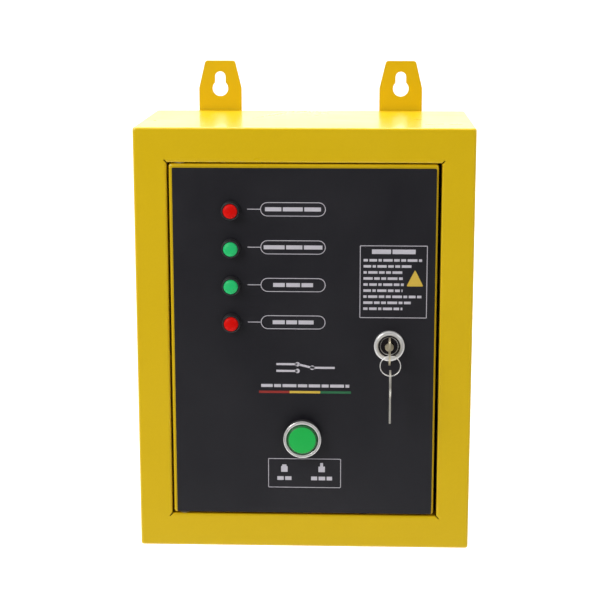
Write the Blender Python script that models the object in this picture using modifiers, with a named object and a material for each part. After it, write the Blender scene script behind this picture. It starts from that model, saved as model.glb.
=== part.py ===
"""Wall-hung transfer switch box with a keyed door, four lamps and a latching push button.

Metres, +X to the right, -Y towards whoever stands in front, +Z up. The origin is the centre of the back
sheet's rear face, which lies on the wall.
"""
import math

import bmesh
import bpy
from mathutils import Matrix

MM = 0.001

# ---- clearances and sheets
GAP = 0.3 * MM                  # between pieces that touch
HOLE_CLEARANCE = 0.3 * MM       # radial, round a body that passes through a sheet
CASE_SHEET = 1.2 * MM
BACK_SHEET = 1.5 * MM
PLATE_SHEET = 1.5 * MM
FOLD_RADIUS = 1.5 * MM
CUT_MARGIN = 1.0 * MM           # how far a cutter runs past what it cuts
FINE = 28                       # sides of the largest turned pieces
ROUND = 20                      # sides of other turned pieces and holes
SMALL = 12                      # sides of pins, screws and small holes

# ---- case
CASE_WIDTH = 250 * MM
CASE_HEIGHT = 320 * MM
CASE_DEPTH = 145 * MM           # wall to front face
FRAME_SIDE = 24.5 * MM          # width of the front frame, left and right
FRAME_END = 25.5 * MM           # width of the front frame, top and bottom
RETURN_DEPTH = 16 * MM          # flange folded in round the door opening
REAR_LIP = 15 * MM              # flange folded in at the back
RELIEF_WIDTH = 0.9 * MM         # corner slits of the return flanges
RELIEF_LENGTH = 5.5 * MM
VENT_RADIUS = 1.3 * MM
VENT_FROM_LEFT = 10 * MM
VENT_FROM_FRONT = 53 * MM

# ---- hanging ears
EAR_SPACING = 146 * MM
EAR_WIDTH = 34.6 * MM
EAR_RISE = 40 * MM              # above the top of the case
EAR_TOP_WIDTH = 24 * MM
EAR_SHOULDER = 18 * MM          # height above the case where the taper starts
EAR_CORNER = 2.5 * MM
KEYHOLE_RADIUS = 6.25 * MM
KEYHOLE_RISE = 17.7 * MM        # centre of the round part, above the case
SLOT_RADIUS = 4.2 * MM
SLOT_RISE = 27 * MM             # centre of the slot's round top, above the case
BACK_INSET = 0.8 * MM           # back sheet inside the case's outline

# ---- door
DOOR_GAP_LEFT = 1.4 * MM
DOOR_GAP_RIGHT = 2.4 * MM
DOOR_GAP_ENDS = 1.0 * MM        # top and bottom
DOOR_DEPTH = 12 * MM
FACEPLATE_THICK = 0.8 * MM
FACEPLATE_LEFT = 2.6 * MM       # margins of door left showing round the faceplate
FACEPLATE_RIGHT = 1.5 * MM
FACEPLATE_TOP = 2.9 * MM
FACEPLATE_BOTTOM = 1.0 * MM
FACEPLATE_CORNER = 1.0 * MM
HINGE_FROM_EDGE = 7.7 * MM      # pivot axis, from the door's left edge
HINGE_DEPTH = 6.0 * MM          # pivot axis, behind the front face
PIN_RADIUS = 2.0 * MM
PIN_HEAD_RADIUS = 2.9 * MM
PIN_HEAD = 1.5 * MM
PIN_PROUD = 2.5 * MM            # pin end past the frame's flange
WASHER_RADIUS = 4.0 * MM

# ---- lamps
LAMP_COLOURS = ("red", "green", "green", "red")
LAMP_X = -53.7 * MM
LAMP_TOP_Z = 99.5 * MM
LAMP_PITCH = 28.05 * MM
LAMP_BASE_RADIUS = 7.0 * MM
LAMP_FRONT_RADIUS = 6.5 * MM
LAMP_RISE = 6.2 * MM
LAMP_SEAT = 3.4 * MM            # height of the lens seat above the faceplate
LENS_RADIUS = 5.25 * MM
LENS_DOME = 2.2 * MM            # lens above the bezel
LAMP_BODY_RADIUS = 4.7 * MM
LAMP_BODY_LENGTH = 26 * MM
LAMP_NUT_FLATS = 14 * MM
LAMP_NUT_THICK = 4 * MM

# ---- push button
BUTTON_X = -0.9 * MM
BUTTON_Z = -72.2 * MM
BUTTON_TRAVEL = 4 * MM
BEZEL_RADIUS = 14.1 * MM
BEZEL_RING = 2.2 * MM           # depth of the bright ring at the front of the bezel
BEZEL_COLLAR_RADIUS = 13.3 * MM
BEZEL_RISE = 9.3 * MM
CAP_RADIUS = 11.8 * MM
CAP_RISE = 10.6 * MM
CAP_SKIRT = 6.0 * MM
CAP_FLAT_RADIUS = 10.3 * MM
STEM_RADIUS = 4.2 * MM
BUTTON_BARREL_RADIUS = 11 * MM
BUTTON_BARREL = 24 * MM         # barrel end behind the faceplate
BUTTON_NUT_RADIUS = 14.5 * MM
BUTTON_NUT_THICK = 4.5 * MM
CONTACT_BLOCK = (30 * MM, 22 * MM, 34 * MM)

# ---- lock and keys
LOCK_X = 63.4 * MM
LOCK_Z = -1.2 * MM
LOCK_TURN_CLEARANCE = 0.35 * MM
LOCK_HEAD_RADIUS = 11.3 * MM
LOCK_HEAD = 4.0 * MM
LOCK_BARREL_RADIUS = 9.4 * MM
LOCK_BARREL = 17 * MM
PLUG_FACE_RADIUS = 8.0 * MM
PLUG_FACE = 3.3 * MM            # plug face above the faceplate
PLUG_STEP = 1.2 * MM            # underside of the plug's rim above the faceplate
PLUG_RADIUS = 6.0 * MM
TAIL_RADIUS = 4.0 * MM
CAM_THICK = 2.0 * MM
CAM_LENGTH = 46 * MM
CAM_ROOT_RADIUS = 8 * MM
CAM_TIP_RADIUS = 6.5 * MM
CAM_SCREW_RADIUS = 2.0 * MM
CAM_SCREW_HEAD_RADIUS = 5.2 * MM
CAM_SCREW_HEAD = 2.6 * MM
CAM_SCREW_LENGTH = 4 * MM
LOCK_NUT_RADIUS = 12.5 * MM
LOCK_NUT_THICK = 3.5 * MM
KEYWAY_DEPTH = 15 * MM          # behind the faceplate
KEY_THICK = 1.5 * MM
KEY_BLADE = 7.6 * MM
KEY_LENGTH = 40.4 * MM
KEY_TIP = 11.6 * MM             # tip behind the faceplate when the key is home
BOW_RADIUS = 10.3 * MM
BOW_HOLE_RADIUS = 3.8 * MM
BOW_HOLE_OUT = 3.3 * MM         # hole centre beyond the bow's centre
BITTING_PITCH = 2.6 * MM
BITTING = (1.1 * MM, 2.0 * MM, 0.8 * MM, 1.6 * MM)
RING_RADIUS = 7.45 * MM
RING_WIRE = 0.65 * MM           # wire radius
RING_DROP = 3.5 * MM            # ring centre below the middle of the bow's web
RING_SIDE = 0.6 * MM            # ring and spare key hang this far right of the key's middle

# ---- inside
PLATE_WIDTH = 204 * MM
PLATE_HEIGHT = 272 * MM
PLATE_STAND = 10 * MM           # face of the mounting plate in front of the back sheet
PLATE_SCREW_INSET = 12 * MM
SCREW_RADIUS = 2.0 * MM
SCREW_HEAD_RADIUS = 4.2 * MM
SCREW_HEAD = 2.6 * MM
RAIL_Z = 60 * MM
RAIL_LENGTH = 190 * MM
RAIL_HEIGHT = 35 * MM
RAIL_DEPTH = 7.5 * MM
RAIL_SHEET = 1.0 * MM
RAIL_WEB = 27 * MM              # height of the rail's channel, outside
CONTACTOR_WIDTH = 45 * MM
CONTACTOR_HEIGHT = 76 * MM
CONTACTOR_BASE = 46 * MM        # depth of the contactor's terminal level
CONTACTOR_NOSE_HEIGHT = 46 * MM
CARRIER_WIDTH = 11 * MM
CARRIER_HEIGHT = 13 * MM
CARRIER_DEPTH = 12 * MM
CARRIER_PROUD = 1.0 * MM
CARRIER_TRAVEL = 4 * MM
CARRIER_CLEARANCE = 0.4 * MM
TERMINAL_SLOT = (9 * MM, 14 * MM, 7 * MM)
INTERLOCK_WIDTH = 10 * MM
INTERLOCK_HEIGHT = 62 * MM
INTERLOCK_DEPTH = 66 * MM
MODULE_HEIGHT = 84 * MM
MODULE_BASE = 44 * MM
MODULE_NOSE_HEIGHT = 45 * MM
MODULE_DEPTH = 60 * MM
FUSE_WIDTH = 17.6 * MM
TIMER_WIDTH = 35.4 * MM
MODULE_SPACE = 3 * MM
LAMP_TO_CONTACTOR = 19.4 * MM   # behind the lamps' bodies, in front of the contactors
BOARD_SIZE = (92 * MM, 1.6 * MM, 84 * MM)
BOARD_X = 46 * MM
BOARD_Z = -42 * MM
BOARD_STAND = 8 * MM
BOARD_POST_RADIUS = 3 * MM
BOARD_POST_INSET = 6 * MM
RELAY_SIZE = (20 * MM, 16 * MM, 28 * MM)
TRANSFORMER_CORE = (54 * MM, 24 * MM, 46 * MM)
TRANSFORMER_COIL = (36 * MM, 42 * MM, 30 * MM)
TRANSFORMER_X = -60 * MM
TRANSFORMER_Z = -38 * MM
TERMINAL_LENGTH = 146 * MM
TERMINAL_HEIGHT = 30 * MM
TERMINAL_DEPTH = 30 * MM
TERMINAL_X = -14 * MM
TERMINAL_Z = -104 * MM
EARTH_X = 84 * MM
EARTH_RADIUS = 3 * MM
EARTH_LENGTH = 18 * MM
EARTH_NUT_FLATS = 10 * MM
EARTH_NUT_THICK = 5 * MM

# ---- cable glands in the bottom
GLAND_SPACING = 60 * MM
GLAND_THREAD_RADIUS = 9.8 * MM
GLAND_FLANGE_RADIUS = 12.4 * MM
GLAND_BORE_RADIUS = 6.2 * MM
GLAND_DROP = 18 * MM
GLAND_INSIDE = 8 * MM
GLAND_NUT_FLATS = 26 * MM
GLAND_NUT_THICK = 4 * MM

# ---- loom from the case to the door
LOOM_RADIUS = 3.4 * MM
LOOM_START_X = -97 * MM
LOOM_Z = -4 * MM
LOOM_ON_DOOR = 34 * MM          # where it ends, right of the pivot

# ---- places that follow from the sizes
FRONT_Y = -CASE_DEPTH
TOP_Z = CASE_HEIGHT / 2
OPEN_X = CASE_WIDTH / 2 - FRAME_SIDE
OPEN_Z = CASE_HEIGHT / 2 - FRAME_END
SHELL_REAR_Y = -BACK_SHEET - GAP
DOOR_LEFT = -OPEN_X + DOOR_GAP_LEFT
DOOR_RIGHT = OPEN_X - DOOR_GAP_RIGHT
DOOR_END = OPEN_Z - DOOR_GAP_ENDS
DOOR_FRONT_Y = FRONT_Y + FACEPLATE_THICK + GAP
DOOR_BACK_Y = DOOR_FRONT_Y + CASE_SHEET
FIT_Y = FRONT_Y - GAP           # where what stands on the faceplate starts
HINGE_X = DOOR_LEFT + HINGE_FROM_EDGE
HINGE_Y = FRONT_Y + HINGE_DEPTH
PLATE_Y = SHELL_REAR_Y - PLATE_STAND
ON_PLATE_Y = PLATE_Y - GAP
RAIL_FRONT_Y = ON_PLATE_Y - RAIL_DEPTH
ON_RAIL_Y = RAIL_FRONT_Y - GAP
CONTACTOR_FRONT_Y = FIT_Y + LAMP_BODY_LENGTH + LAMP_TO_CONTACTOR
CONTACTOR_DEPTH = ON_RAIL_Y - CONTACTOR_FRONT_Y
GLAND_Y = FRONT_Y / 2
BOTTOM_Z = -CASE_HEIGHT / 2
FLOOR_Z = BOTTOM_Z + CASE_SHEET
BOW_OUT = KEY_LENGTH - BOW_RADIUS - KEY_TIP
RING_Y = FIT_Y - BOW_OUT - BOW_HOLE_OUT
BOW_EDGE = math.sqrt(BOW_RADIUS ** 2 - BOW_HOLE_OUT ** 2)
WEB_Z = LOCK_Z - (BOW_HOLE_RADIUS + BOW_EDGE) / 2
RING_X = LOCK_X + RING_SIDE
RING_Z = WEB_Z - RING_DROP

FACING_FRONT = (math.pi / 2, 0, 0)      # local Z points to -Y, local Y to +Z
ALONG_X = (math.pi / 2, 0, math.pi / 2)  # local X to +Y, local Y to +Z, local Z to +X
DOWNWARDS = (math.pi, 0, 0)

MATERIALS = {
    "yellow_paint": ((0.70, 0.44, 0.02), 0.30, 0.0),
    "black_face": ((0.018, 0.018, 0.022), 0.45, 0.0),
    "zinc_steel": ((0.60, 0.60, 0.58), 0.40, 1.0),
    "bright_chrome": ((0.80, 0.80, 0.80), 0.12, 1.0),
    "key_metal": ((0.62, 0.58, 0.48), 0.35, 1.0),
    "brass": ((0.72, 0.52, 0.22), 0.35, 1.0),
    "black_plastic": ((0.02, 0.02, 0.02), 0.45, 0.0),
    "red_lens": ((0.75, 0.02, 0.01), 0.22, 0.0),
    "green_lens": ((0.03, 0.55, 0.12), 0.22, 0.0),
    "white_nylon": ((0.80, 0.80, 0.76), 0.50, 0.0),
    "grey_plastic": ((0.32, 0.33, 0.34), 0.50, 0.0),
    "cream_plastic": ((0.62, 0.60, 0.52), 0.50, 0.0),
    "blue_plastic": ((0.04, 0.12, 0.42), 0.45, 0.0),
    "board_green": ((0.02, 0.16, 0.06), 0.45, 0.0),
    "loom_black": ((0.025, 0.025, 0.025), 0.60, 0.0),
}


def clear_scene():
    for thing in list(bpy.data.objects):
        bpy.data.objects.remove(thing, do_unlink=True)


def make_collection(name):
    group = bpy.data.collections.new(name)
    bpy.context.scene.collection.children.link(group)
    return group


def make_material(name):
    colour, roughness, metallic = MATERIALS[name]
    finish = bpy.data.materials.new(name)
    finish.use_nodes = True
    shader = finish.node_tree.nodes["Principled BSDF"]
    shader.inputs["Base Color"].default_value = (*colour, 1)
    shader.inputs["Roughness"].default_value = roughness
    shader.inputs["Metallic"].default_value = metallic
    finish.diffuse_color = (*colour, 1)
    return finish


clear_scene()
PARTS = make_collection("transfer_switch_box")
CUTTERS = make_collection("cutters")
FINISHES = {name: make_material(name) for name in MATERIALS}


# ---- helpers

def add_part(name, mesh, finish, location=(0, 0, 0), turn=(0, 0, 0)):
    part = bpy.data.objects.new(name, mesh)
    part.location = location
    part.rotation_euler = turn
    PARTS.objects.link(part)
    mesh.materials.clear()
    mesh.materials.append(FINISHES[finish])
    return part


def add_cutter(name, mesh, location=(0, 0, 0), turn=(0, 0, 0)):
    cutter = bpy.data.objects.new(name, mesh)
    cutter.location = location
    cutter.rotation_euler = turn
    cutter.hide_render = True
    cutter.display_type = "WIRE"
    CUTTERS.objects.link(cutter)
    return cutter


def finish_mesh(name, shape):
    mesh = bpy.data.meshes.new(name)
    shape.to_mesh(mesh)
    shape.free()
    return mesh


def boxes_mesh(name, boxes):
    """Boxes given as (centre, size), in one mesh."""
    shape = bmesh.new()
    for centre, size in boxes:
        made = bmesh.ops.create_cube(shape, size=1)["verts"]
        bmesh.ops.scale(shape, vec=size, verts=made)
        bmesh.ops.translate(shape, vec=centre, verts=made)
    return finish_mesh(name, shape)


def rods_mesh(name, rods, segments=ROUND):
    """Round rods along local Z given as (x, y, radius, low z, high z), in one mesh."""
    shape = bmesh.new()
    for x, y, radius, low, high in rods:
        made = bmesh.ops.create_cone(
            shape, cap_ends=True, segments=segments, radius1=radius, radius2=radius, depth=high - low
        )["verts"]
        bmesh.ops.translate(shape, vec=(x, y, (low + high) / 2), verts=made)
    return finish_mesh(name, shape)


def turned_part(name, profile, finish, location, turn, segments=ROUND):
    """A profile of (radius, height) points, run down the outer side and swept round local Z."""
    shape = bmesh.new()
    points = [shape.verts.new((radius, 0, height)) for radius, height in profile]
    for start, end in zip(points, points[1:]):
        shape.edges.new((start, end))
    if profile[0][0] > 0:
        shape.edges.new((points[-1], points[0]))
    part = add_part(name, finish_mesh(name, shape), finish, location, turn)
    screw = part.modifiers.new("sweep", "SCREW")
    screw.axis = "Z"
    screw.angle = 2 * math.pi
    screw.steps = segments
    screw.render_steps = segments
    screw.use_merge_vertices = True
    screw.merge_threshold = 0.00001
    return part


def arc(centre_x, centre_y, radius, start, end, steps):
    """Points along an arc, angles in degrees."""
    angles = [math.radians(start + (end - start) * step / steps) for step in range(steps + 1)]
    return [(centre_x + radius * math.cos(a), centre_y + radius * math.sin(a)) for a in angles]


def circle(centre_x, centre_y, radius, steps=ROUND):
    return arc(centre_x, centre_y, radius, 0, 360, steps)[:-1]


def hexagon(flats):
    return arc(0, 0, flats / math.sqrt(3), 0, 360, 6)[:-1]


def rounded_rectangle(left, right, low, high, radius, steps=3):
    corners = (
        (right - radius, high - radius, 0), (left + radius, high - radius, 90),
        (left + radius, low + radius, 180), (right - radius, low + radius, 270),
    )
    return [point for x, y, start in corners for point in arc(x, y, radius, start, start + 90, steps)]


def flat_part(name, loops, thickness, finish, location, turn):
    """A flat piece: outlines and holes filled, extruded half the thickness to each side, caps welded."""
    curve = bpy.data.curves.new(name, "CURVE")
    curve.dimensions = "2D"
    curve.fill_mode = "BOTH"
    curve.extrude = thickness / 2
    for loop in loops:
        spline = curve.splines.new("POLY")
        spline.points.add(len(loop) - 1)
        spline.use_cyclic_u = True
        for point, (x, y) in zip(spline.points, loop):
            point.co = (x, y, 0, 1)
    drawn = bpy.data.objects.new(name + "_outline", curve)
    CUTTERS.objects.link(drawn)
    seen = drawn.evaluated_get(bpy.context.evaluated_depsgraph_get())
    mesh = bpy.data.meshes.new_from_object(seen)
    bpy.data.objects.remove(drawn, do_unlink=True)
    shape = bmesh.new()
    shape.from_mesh(mesh)
    bmesh.ops.remove_doubles(shape, verts=shape.verts, dist=0.00001)
    bmesh.ops.recalc_face_normals(shape, faces=shape.faces)
    shape.to_mesh(mesh)
    shape.free()
    mesh.name = name
    return add_part(name, mesh, finish, location, turn)


def combine(part, other, operation="DIFFERENCE"):
    modifier = part.modifiers.new(operation.lower(), "BOOLEAN")
    modifier.operation = operation
    modifier.solver = "EXACT"
    modifier.object = other
    return part


def soften(part, width, segments=1):
    bevel = part.modifiers.new("soften", "BEVEL")
    bevel.width = width
    bevel.segments = segments
    bevel.limit_method = "ANGLE"
    bevel.angle_limit = math.radians(50)
    return part


def sheet_wall(part, thickness):
    """Folded edges on an open skin, then the sheet's thickness to its inner side."""
    soften(part, FOLD_RADIUS, 2)
    wall = part.modifiers.new("sheet", "SOLIDIFY")
    wall.thickness = thickness
    wall.offset = -1
    wall.use_even_offset = True
    return part


def make_pivot(name, place, parent=None):
    """An empty on a joint's axis; place is in world metres."""
    pivot = bpy.data.objects.new(name, None)
    pivot.empty_display_size = 0.01
    pivot["place"] = place
    PARTS.objects.link(pivot)
    pivot.location = place
    if parent:
        hang_on(pivot, parent)
    return pivot


def hang_on(part, pivot):
    """Parents a piece to a pivot and keeps it where it is."""
    part.parent = pivot
    part.location = [here - there for here, there in zip(part.location, pivot["place"])]
    return part


def sides_of_box(name, size, centre, open_normal):
    """A box's skin with the face on one side left off."""
    shape = bmesh.new()
    bmesh.ops.create_cube(shape, size=1)
    bmesh.ops.scale(shape, vec=size, verts=shape.verts)
    bmesh.ops.translate(shape, vec=centre, verts=shape.verts)
    shape.normal_update()
    lid = [face for face in shape.faces if face.normal.y * open_normal > 0.9]
    bmesh.ops.delete(shape, geom=lid, context="FACES_ONLY")
    return finish_mesh(name, shape)


# ---- case

def fold_in(shape, side, half_x, half_z, depth):
    """Insets the face on one side to an opening and, with a depth, folds a flange in round it."""
    shape.normal_update()
    face = next(face for face in shape.faces if face.normal.y * side > 0.9)
    bmesh.ops.inset_region(shape, faces=[face], thickness=FRAME_SIDE / 2)
    for vert in face.verts:
        vert.co.x = math.copysign(half_x, vert.co.x)
        vert.co.z = math.copysign(half_z, vert.co.z)
    rim = list(face.edges)
    bmesh.ops.delete(shape, geom=[face], context="FACES_ONLY")
    if depth:
        flange = bmesh.ops.extrude_edge_only(shape, edges=rim)["geom"]
        moved = [item for item in flange if isinstance(item, bmesh.types.BMVert)]
        bmesh.ops.translate(shape, vec=(0, -side * depth, 0), verts=moved)


def case_shell():
    depth = SHELL_REAR_Y - FRONT_Y
    shape = bmesh.new()
    bmesh.ops.create_cube(shape, size=1)
    bmesh.ops.scale(shape, vec=(CASE_WIDTH, depth, CASE_HEIGHT), verts=shape.verts)
    bmesh.ops.translate(shape, vec=(0, (SHELL_REAR_Y + FRONT_Y) / 2, 0), verts=shape.verts)
    fold_in(shape, -1, OPEN_X, OPEN_Z, RETURN_DEPTH)
    fold_in(shape, 1, CASE_WIDTH / 2 - REAR_LIP, CASE_HEIGHT / 2 - REAR_LIP, 0)
    bmesh.ops.recalc_face_normals(shape, faces=shape.faces)
    shell = add_part("case_shell", finish_mesh("case_shell", shape), "yellow_paint")
    sheet_wall(shell, CASE_SHEET)
    combine(shell, relief_cutter())
    holes = [(HINGE_X, HINGE_Y, PIN_RADIUS + HOLE_CLEARANCE, side * OPEN_Z - CUT_MARGIN - CASE_SHEET,
              side * OPEN_Z + CUT_MARGIN + CASE_SHEET) for side in (-1, 1)]
    gland_hole = GLAND_THREAD_RADIUS + HOLE_CLEARANCE
    for x in gland_places():
        holes.append((x, GLAND_Y, gland_hole, BOTTOM_Z - CUT_MARGIN, FLOOR_Z + CUT_MARGIN))
    holes.append((VENT_FROM_LEFT - CASE_WIDTH / 2, FRONT_Y + VENT_FROM_FRONT, VENT_RADIUS,
                  TOP_Z - CASE_SHEET - CUT_MARGIN, TOP_Z + CUT_MARGIN))
    combine(shell, add_cutter("case_holes", rods_mesh("case_holes", holes)))
    return shell


def relief_cutter():
    """Thin upright boards that slit the four corners of the return flange."""
    shape = bmesh.new()
    for side in (-1, 1):
        for end in (-1, 1):
            made = bmesh.ops.create_cube(shape, size=1)["verts"]
            size = (RELIEF_LENGTH, RETURN_DEPTH + 2 * CUT_MARGIN, RELIEF_WIDTH)
            bmesh.ops.scale(shape, vec=size, verts=made)
            slant = -side * end * math.pi / 4
            bmesh.ops.rotate(shape, cent=(0, 0, 0), matrix=Matrix.Rotation(slant, 3, "Y"), verts=made)
            place = (side * OPEN_X, FRONT_Y + RETURN_DEPTH / 2, end * OPEN_Z)
            bmesh.ops.translate(shape, vec=place, verts=made)
    return add_cutter("corner_reliefs", finish_mesh("corner_reliefs", shape))


def keyhole(centre_x):
    """A round hole that opens upwards into a narrower slot with a round top."""
    low_z = TOP_Z + KEYHOLE_RISE
    top_z = TOP_Z + SLOT_RISE
    meet = math.degrees(math.acos(SLOT_RADIUS / KEYHOLE_RADIUS))
    return (arc(centre_x, low_z, KEYHOLE_RADIUS, 180 - meet, 360 + meet, 18)
            + arc(centre_x, top_z, SLOT_RADIUS, 0, 180, 10))


def ear_points(centre_x):
    """The ear's edge above the case, from its right foot round to its left foot."""
    half, top_half = EAR_WIDTH / 2, EAR_TOP_WIDTH / 2
    shoulder, top = TOP_Z + EAR_SHOULDER, TOP_Z + EAR_RISE
    lean = math.degrees(math.atan2(half - top_half, top - shoulder))
    reach = EAR_CORNER / math.tan(math.radians(45 + lean / 2))
    right = arc(top_half - reach, top - EAR_CORNER, EAR_CORNER, lean, 90, 4)
    left = [(-x, z) for x, z in reversed(right)]
    foot = TOP_Z - BACK_INSET
    edge = [(half, foot), (half, shoulder), *right, *left, (-half, shoulder), (-half, foot)]
    return [(centre_x + x, z) for x, z in edge]


def back_panel():
    half_x = CASE_WIDTH / 2 - BACK_INSET
    half_z = TOP_Z - BACK_INSET
    ears = [point for side in (1, -1) for point in ear_points(side * EAR_SPACING / 2)]
    outline = [(-half_x, -half_z), (half_x, -half_z), (half_x, half_z), *ears, (-half_x, half_z)]
    loops = [outline, keyhole(-EAR_SPACING / 2), keyhole(EAR_SPACING / 2)]
    return flat_part("back_panel", loops, BACK_SHEET, "yellow_paint", (0, -BACK_SHEET / 2, 0), FACING_FRONT)


def gland_places():
    return [step * GLAND_SPACING for step in (-1, 0, 1)]


def cable_gland(number, x):
    """A gland whose threaded neck passes up through the bottom, and its locknut inside."""
    inside = GLAND_INSIDE + CASE_SHEET
    dome = GLAND_FLANGE_RADIUS - 1.4 * MM
    profile = [
        (GLAND_BORE_RADIUS, inside), (GLAND_THREAD_RADIUS, inside), (GLAND_THREAD_RADIUS, -GAP),
        (GLAND_FLANGE_RADIUS, -GAP), (GLAND_FLANGE_RADIUS, -0.3 * GLAND_DROP), (dome, -0.36 * GLAND_DROP),
        (dome, -0.78 * GLAND_DROP), (0.72 * GLAND_FLANGE_RADIUS, -GLAND_DROP),
        (GLAND_BORE_RADIUS, -GLAND_DROP),
    ]
    turned_part(f"gland_{number}", profile, "black_plastic", (x, GLAND_Y, BOTTOM_Z), (0, 0, 0))
    loops = [hexagon(GLAND_NUT_FLATS), circle(0, 0, GLAND_THREAD_RADIUS + HOLE_CLEARANCE)]
    place = (x, GLAND_Y, FLOOR_Z + GAP + GLAND_NUT_THICK / 2)
    flat_part(f"gland_nut_{number}", loops, GLAND_NUT_THICK, "black_plastic", place, (0, 0, 0))


# ---- door

def lamp_heights():
    return [LAMP_TOP_Z - LAMP_PITCH * number for number in range(len(LAMP_COLOURS))]


def door_holes():
    """Places and radii of the holes through the door and its faceplate, as (x, z, radius)."""
    holes = [(LAMP_X, z, LAMP_BODY_RADIUS + HOLE_CLEARANCE) for z in lamp_heights()]
    holes.append((LOCK_X, LOCK_Z, LOCK_BARREL_RADIUS + HOLE_CLEARANCE))
    holes.append((BUTTON_X, BUTTON_Z, BUTTON_BARREL_RADIUS + HOLE_CLEARANCE))
    return holes


def door_panel(pivot):
    size = (DOOR_RIGHT - DOOR_LEFT, DOOR_DEPTH, 2 * DOOR_END)
    centre = ((DOOR_LEFT + DOOR_RIGHT) / 2, DOOR_FRONT_Y + DOOR_DEPTH / 2, 0)
    door = add_part("door_panel", sides_of_box("door_panel", size, centre, 1), "yellow_paint")
    sheet_wall(door, CASE_SHEET)
    rods = [(x, z, radius, -CUT_MARGIN, CASE_SHEET + CUT_MARGIN) for x, z, radius in door_holes()]
    cutter = add_cutter("door_holes", rods_mesh("door_holes", rods), (0, DOOR_BACK_Y, 0), FACING_FRONT)
    combine(door, cutter)
    pins = [(HINGE_X, HINGE_Y, PIN_RADIUS + HOLE_CLEARANCE, side * (DOOR_END - CASE_SHEET / 2) - CASE_SHEET,
             side * (DOOR_END - CASE_SHEET / 2) + CASE_SHEET) for side in (-1, 1)]
    combine(door, add_cutter("pin_holes", rods_mesh("pin_holes", pins, SMALL)))
    return hang_on(door, pivot)


def faceplate(pivot):
    outline = rounded_rectangle(
        DOOR_LEFT + FACEPLATE_LEFT, DOOR_RIGHT - FACEPLATE_RIGHT,
        -DOOR_END + FACEPLATE_BOTTOM, DOOR_END - FACEPLATE_TOP, FACEPLATE_CORNER,
    )
    loops = [outline] + [circle(x, z, radius) for x, z, radius in door_holes()]
    place = (0, FRONT_Y + FACEPLATE_THICK / 2, 0)
    hang_on(flat_part("faceplate", loops, FACEPLATE_THICK, "black_face", place, FACING_FRONT), pivot)


def hinge_pin(name, side, pivot):
    """A headed pivot pin out through the flanges of door and frame; side is +1 at the top."""
    head_top = DOOR_END - CASE_SHEET - GAP
    end = OPEN_Z + CASE_SHEET + PIN_PROUD
    profile = [(0, end), (PIN_RADIUS, end), (PIN_RADIUS, head_top), (PIN_HEAD_RADIUS, head_top),
               (PIN_HEAD_RADIUS, head_top - PIN_HEAD), (0, head_top - PIN_HEAD)]
    turn = (0, 0, 0) if side > 0 else DOWNWARDS
    hang_on(turned_part(name, profile, "zinc_steel", (HINGE_X, HINGE_Y, 0), turn, SMALL), pivot)


def hinge_washer(name, side, pivot):
    hole = PIN_RADIUS + HOLE_CLEARANCE
    thick = DOOR_GAP_ENDS - 2 * GAP
    loops = [circle(0, 0, WASHER_RADIUS, SMALL), circle(0, 0, hole, SMALL)]
    place = (HINGE_X, HINGE_Y, side * (DOOR_END + DOOR_GAP_ENDS / 2))
    hang_on(flat_part(name, loops, thick, "white_nylon", place, (0, 0, 0)), pivot)


def lamp(number, z, colour, pivot):
    """One indicator: black body with a flared bezel, domed lens, nut behind the door."""
    place = (LAMP_X, FIT_Y, z)
    seat_radius = LENS_RADIUS + GAP
    body = [
        (0, LAMP_SEAT), (seat_radius, LAMP_SEAT), (seat_radius, LAMP_RISE), (LAMP_FRONT_RADIUS, LAMP_RISE),
        (LAMP_BASE_RADIUS, 0.35 * LAMP_RISE), (LAMP_BASE_RADIUS, 0), (LAMP_BODY_RADIUS, 0),
        (LAMP_BODY_RADIUS, -LAMP_BODY_LENGTH), (0, -LAMP_BODY_LENGTH),
    ]
    hang_on(turned_part(f"lamp_body_{number}", body, "black_plastic", place, FACING_FRONT), pivot)
    top = LAMP_RISE + LENS_DOME
    lens = [
        (0, top), (0.5 * LENS_RADIUS, top - 0.12 * LENS_DOME),
        (0.82 * LENS_RADIUS, top - 0.45 * LENS_DOME), (LENS_RADIUS, LAMP_RISE),
        (LENS_RADIUS, LAMP_SEAT + GAP), (0, LAMP_SEAT + GAP),
    ]
    hang_on(turned_part(f"lamp_lens_{number}", lens, colour + "_lens", place, FACING_FRONT), pivot)
    loops = [hexagon(LAMP_NUT_FLATS), circle(0, 0, LAMP_BODY_RADIUS + HOLE_CLEARANCE)]
    behind = (LAMP_X, DOOR_BACK_Y + GAP + LAMP_NUT_THICK / 2, z)
    nut = flat_part(f"lamp_nut_{number}", loops, LAMP_NUT_THICK, "black_plastic", behind, FACING_FRONT)
    hang_on(nut, pivot)


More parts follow.
